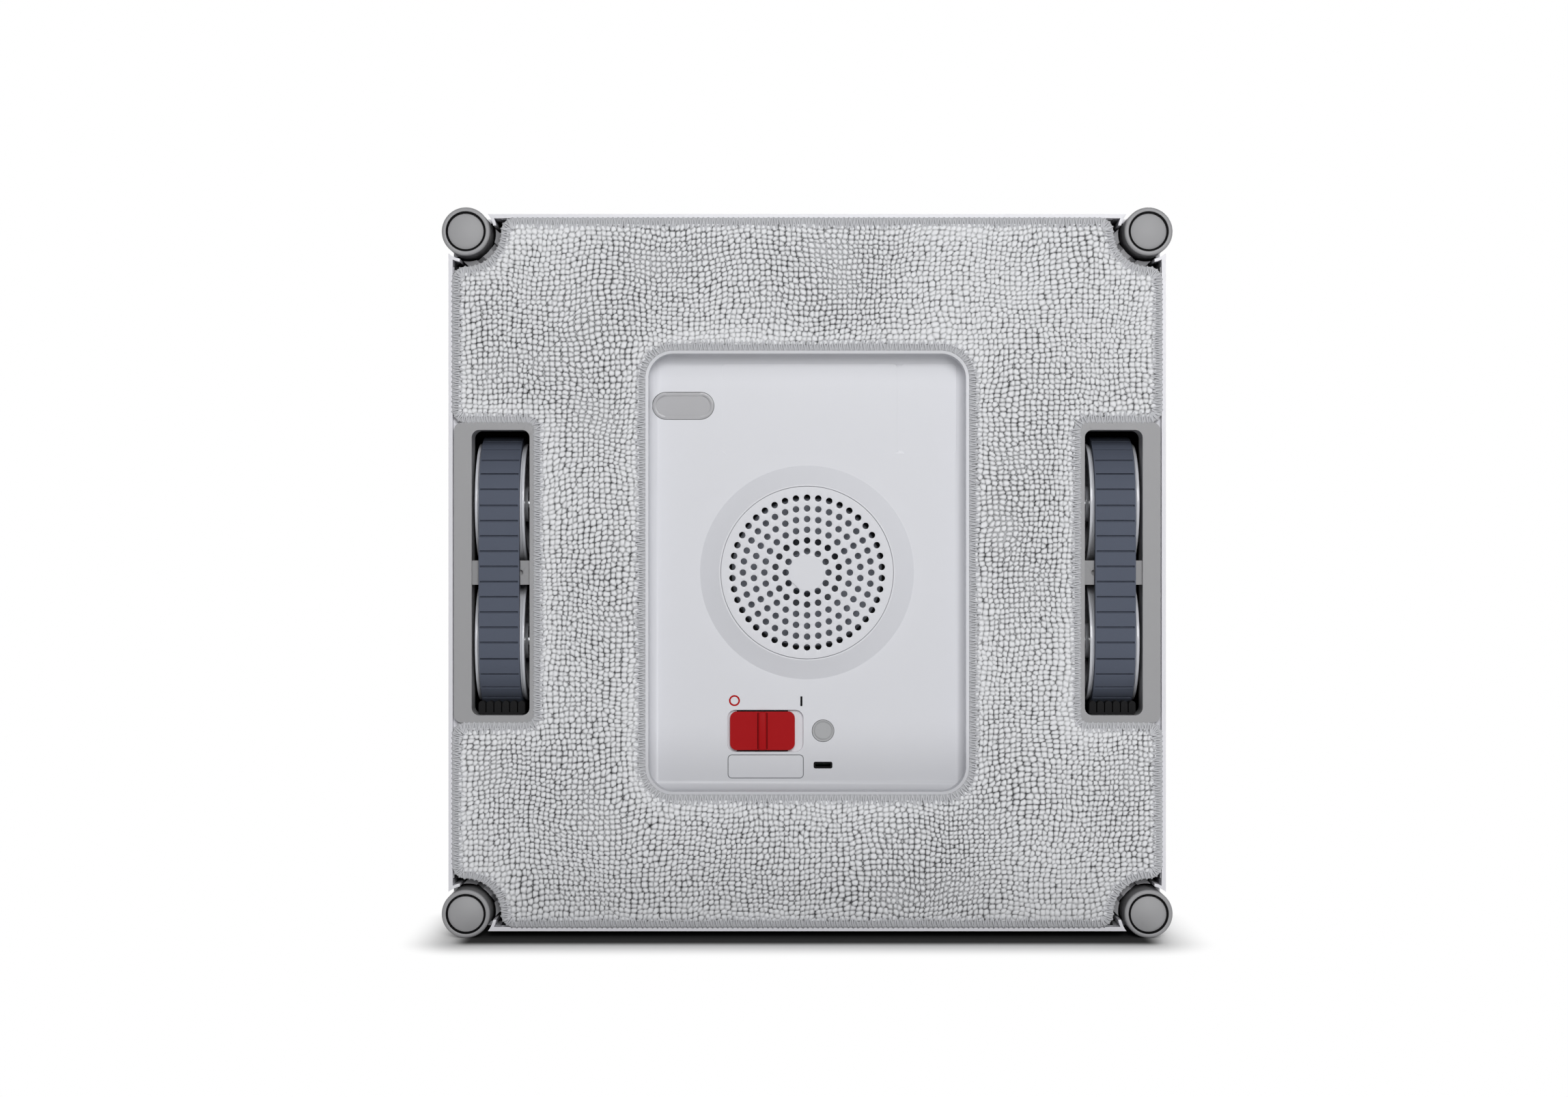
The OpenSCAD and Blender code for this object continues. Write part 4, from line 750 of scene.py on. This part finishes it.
terry_depth = (
    terry_top + terry_rise * (1 - bead) * np.clip(press, 0.35, 1) + swell + 0.5 * rim_fall**2
)
# Painted shade: the colour attribute darkens the creases and the bare spots between loops, the
# lower loops, and the pad towards its bottom edge.
between_loop_shade = np.clip((first - 0.86) / 0.4, 0, 1)
loop_shade_value = 0.88 * (1 - crease) ** 2.3 + 0.75 * between_loop_shade * (1 - crease) + 0.12 * (1 - own_height)
bottom_painted_shade = 0.1 * np.clip((-88 - net_y) / 30, 0, 1)
loop_shade_value = np.clip(loop_shade_value * np.clip(0.25 + 0.75 * press, 0.4, 1) + bottom_painted_shade, 0, 1)

numbering = np.full(net_x.shape, -1)
grid = np.arange(net_x.size).reshape(side_count + 1, side_count + 1)
quads = np.stack([grid[:-1, :-1], grid[:-1, 1:], grid[1:, 1:], grid[1:, :-1]], axis=-1)
quads = quads.reshape(-1, 4)
quads = quads[inside[quads].all(axis=1)]
used = np.unique(quads)
numbering[used] = np.arange(used.size)
terry_mesh = bpy.data.meshes.new("pad_terry")
terry_mesh.from_pydata(
    np.column_stack(at_face(net_x[used], net_y[used], terry_depth[used])).tolist(),
    [],
    numbering[quads].tolist(),
)
painted_loop_shade = terry_mesh.attributes.new("painted_loop_shade", "FLOAT", "POINT")
painted_loop_shade.data.foreach_set("value", loop_shade_value[used])
terry = bpy.data.objects.new("pad_terry", terry_mesh)
bpy.context.scene.collection.objects.link(terry)
shell = bmesh.new()
shell.from_mesh(terry_mesh)
rim = [e for e in shell.edges if e.is_boundary]
skirt = bmesh.ops.extrude_edge_only(shell, edges=rim)["geom"]
for v in skirt:
    if isinstance(v, bmesh.types.BMVert):
        v.co.y = at_face(0, 0, skirt_depth)[1]
bmesh.ops.triangle_fill(shell, use_beauty=False, edges=[e for e in shell.edges if e.is_boundary])
bmesh.ops.recalc_face_normals(shell, faces=shell.faces)
shell.to_mesh(terry_mesh)
shell.free()
for face in terry_mesh.polygons:
    face.use_smooth = True
set_finish(terry, terry_grey)
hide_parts("cleaning_pad")

# The overlock thread runs in and out over the edge in one long zigzag, once
# round the outer edge and once round the window.
stitch_pitch = 1.68
stitch_reach = 3.3
thread_shaker = random.Random(11)
thread_curve = bpy.data.curves.new("pad_overlock", "CURVE")
thread_curve.dimensions = "3D"
thread_curve.bevel_depth = 0.00025
thread_curve.bevel_resolution = 1
thread_curve.use_fill_caps = True
for points in (outer_points, window_points):
    fine = even_loop(points, 0.2)
    normals = outward(fine) if points is outer_points else -outward(fine)
    total = len(fine)
    stitches = int(total * 0.2 / stitch_pitch)
    route = []
    for k in range(stitches):
        wobble = thread_shaker.uniform(-0.2, 0.2)
        depth_jitter = thread_shaker.uniform(-0.08, 0.08)
        reach = stitch_reach + thread_shaker.uniform(-0.5, 0.4)
        # share of one stitch, distance in from the edge, depth
        for share, inset, depth in (
            (0.00, -0.42, 2.2), (0.04, -0.48, 1.4), (0.10, 0.05, 0.82), (0.22, 0.9, 0.5),
            (0.38, 0.75 * reach, 0.28), (0.48, reach, 0.42), (0.52, reach, 0.42),
            (0.62, 0.75 * reach, 0.28), (0.78, 0.9, 0.5), (0.90, 0.05, 0.82), (0.96, -0.48, 1.4),
        ):
            at = (k + share + wobble * (inset > 0)) / stitches * total
            i = int(at) % total
            x, y = fine[i] - normals[i] * inset
            route.append((x, y, depth + depth_jitter))
    line = thread_curve.splines.new("POLY")
    line.points.add(len(route) - 1)
    for point, (x, y, depth) in zip(line.points, route):
        point.co = (*at_face(x, y, depth), 1)
    line.use_cyclic_u = True
overlock = mesh_from_curve("pad_overlock", thread_curve)
for face in overlock.data.polygons:
    face.use_smooth = True
set_finish(overlock, thread_grey)

# Switch marks: a red ring for off and a black bar for on, printed on the
# tray as thin films of ink, and a blank label with a grey outline below.
ink_red = skin_material("ink_red", paint(176, 12, 16), 0.5, 3000, 0.1, 0.02, gloss=0.05)
ink_black = skin_material("ink_black", paint(5, 5, 6), 0.5, 3000, 0.1, 0.02, gloss=0.04)
ink_grey = skin_material("ink_grey", paint(110, 112, 116), 0.5, 3000, 0.1, 0.02)
film = 0.00004
mark_depth = 8.99
facing = (math.radians(90), 0, 0)


def start_piece(name):
    """Names the primitive that was just added."""
    piece = bpy.context.active_object
    piece.name = name
    piece.data.name = name
    return piece


def lay_film(piece, material, body="housing", thickness=film):
    """Gives a flat outline its thickness and fixes it to its body."""
    bpy.ops.object.mode_set(mode="OBJECT")
    bpy.ops.object.transform_apply(location=True, rotation=True, scale=True)
    thick = piece.modifiers.new("film", "SOLIDIFY")
    thick.thickness = thickness
    thick.offset = 0
    bpy.ops.object.modifier_apply(modifier="film")
    return set_finish(piece, material, body)


def cut_ring(name, place, radius, width):
    """A flat ring on the working side, left open for more cuts. Radius and width in millimetres."""
    clear_selection()
    bpy.ops.mesh.primitive_circle_add(
        vertices=64, radius=radius / 1000, fill_type="NGON", location=place, rotation=facing
    )
    ring = start_piece(name)
    bpy.ops.object.mode_set(mode="EDIT")
    bpy.ops.mesh.inset(thickness=width / 1000)
    bpy.ops.mesh.delete(type="FACE")
    return ring


off_mark = cut_ring("off_mark", at_face(-24.5, -43.3, mark_depth), 1.86, 0.56)
lay_film(off_mark, ink_red)

clear_selection()
bpy.ops.mesh.primitive_plane_add(
    size=0.001, location=at_face(-1.9, -43.5, mark_depth), rotation=facing
)
on_mark = start_piece("on_mark")
on_mark.scale = (0.7, 3.35, 1)
bpy.ops.object.transform_apply(location=False, rotation=False, scale=True)
bpy.ops.object.mode_set(mode="EDIT")
bpy.ops.mesh.bevel(offset=0.0002, segments=4, affect="VERTICES")
lay_film(on_mark, ink_black)

clear_selection()
bpy.ops.mesh.primitive_plane_add(
    size=0.001, location=at_face(-13.95, -65.55, mark_depth), rotation=facing
)
label_line = start_piece("label_outline")
label_line.scale = (25.7, 8.1, 1)
bpy.ops.object.transform_apply(location=False, rotation=False, scale=True)
bpy.ops.object.mode_set(mode="EDIT")
bpy.ops.mesh.bevel(offset=0.0014, segments=8, affect="VERTICES")
bpy.ops.mesh.inset(thickness=0.00028)
bpy.ops.mesh.delete(type="FACE")
lay_film(label_line, ink_grey)

# Roller gap shade: a thin black ring laid on each roller's end round its
# cap, painted shade for the narrow gap between cap and roller; it turns with
# the roller.
painted_shade_black = skin_material("painted_shade_black", paint(10, 10, 11), 0.6, 3000, 0.2, 0.04, gloss=0.05)
shade_ring_r = 6.7
shade_ring_w = 0.68
corner_signs = (
    ("top_right", 1, 1),
    ("top_left", -1, 1),
    ("bottom_left", -1, -1),
    ("bottom_right", 1, -1),
)
for corner, aside, up in corner_signs:
    roller = nodes[corner + "_roller"]
    front = min((roller.matrix_world @ Vector(c)).y for c in roller.bound_box)
    x, _, z = at_face(aside * roller_mid, up * roller_mid, 0)
    gap_shade_ring = cut_ring(corner + "_seal", (x, front - film / 4, z), shade_ring_r, shade_ring_w)
    lay_film(gap_shade_ring, painted_shade_black, corner + "_corner")

# Slider trim: a rounded finger rib over the red cap's middle. A dark red
# strip under the rib, showing along either side of it, is painted shade, and
# a black plate under the cap, showing at its top and bottom edges, is painted
# shade from the recess.
slider = nodes["switch_slider"]
slider_corners = [slider.matrix_world @ Vector(c) for c in slider.bound_box]
slider_mid = sum(slider_corners, Vector()) / 8
slider_front = min(c.y for c in slider_corners)
slider_wide = 2 * max(c.x - slider_mid.x for c in slider_corners)
slider_tall = 2 * max(c.z - slider_mid.z for c in slider_corners)


def add_block(name, depth, size, edge, material):
    """A soft-edged block on the slider, with its middle this far behind the slider's front."""
    place = (slider_mid.x, slider_front + depth, slider_mid.z)
    clear_selection()
    bpy.ops.mesh.primitive_cube_add(size=1, location=place)
    block = start_piece(name)
    block.scale = size
    bpy.ops.object.transform_apply(location=True, rotation=False, scale=True)
    soft = block.modifiers.new("soft_edges", "BEVEL")
    soft.width = edge
    soft.segments = 3
    bpy.ops.object.modifier_apply(modifier="soft_edges")
    for face in block.data.polygons:
        face.use_smooth = True
    return set_finish(block, material, "slider")


# Painted shade: the dark red strip beside the rib and the black plate round the cap stand for
# shade, not parts.
rib_shade_red = skin_material("rib_shade_red", paint(92, 8, 10), 0.6, 4400, 0.12, 0.01, gloss=0.04)
rib_size = (0.0026, 0.0018, slider_tall)
rib_shade_size = (0.0034, 0.0001, slider_tall - 0.0008)
shade_plate_size = (slider_wide - 0.0046, 0.0004, slider_tall + 0.0007)
add_block("slider_rib", 0.0004, rib_size, 0.0005, switch_red)
add_block("rib_shade_strip", 0.0009, rib_shade_size, 0.00003, rib_shade_red)
add_block("slider_shade_plate", 0.0013, shade_plate_size, 0.0001, painted_shade_black)

# Notch gaskets: thin black foam behind the pad round each roller's pocket,
# cut off straight along the housing's rim.
gasket_r = 17.6
gasket_w = 5.2
gasket_depth = 3.1
gasket_t = 0.0002
rim_line = 118.4
for corner, aside, up in corner_signs:
    place = at_face(aside * roller_mid, up * roller_mid, gasket_depth)
    gasket = cut_ring(corner + "_gasket", place, gasket_r, gasket_w)
    side_cut = (at_face(aside * rim_line, 0, 0), (aside, 0, 0))
    end_cut = (at_face(0, up * rim_line, 0), (0, 0, up))
    for edge, way in (side_cut, end_cut):
        bpy.ops.mesh.select_all(action="SELECT")
        bpy.ops.mesh.bisect(plane_co=edge, plane_no=way, clear_outer=True)
    lay_film(gasket, foam_black, thickness=gasket_t)
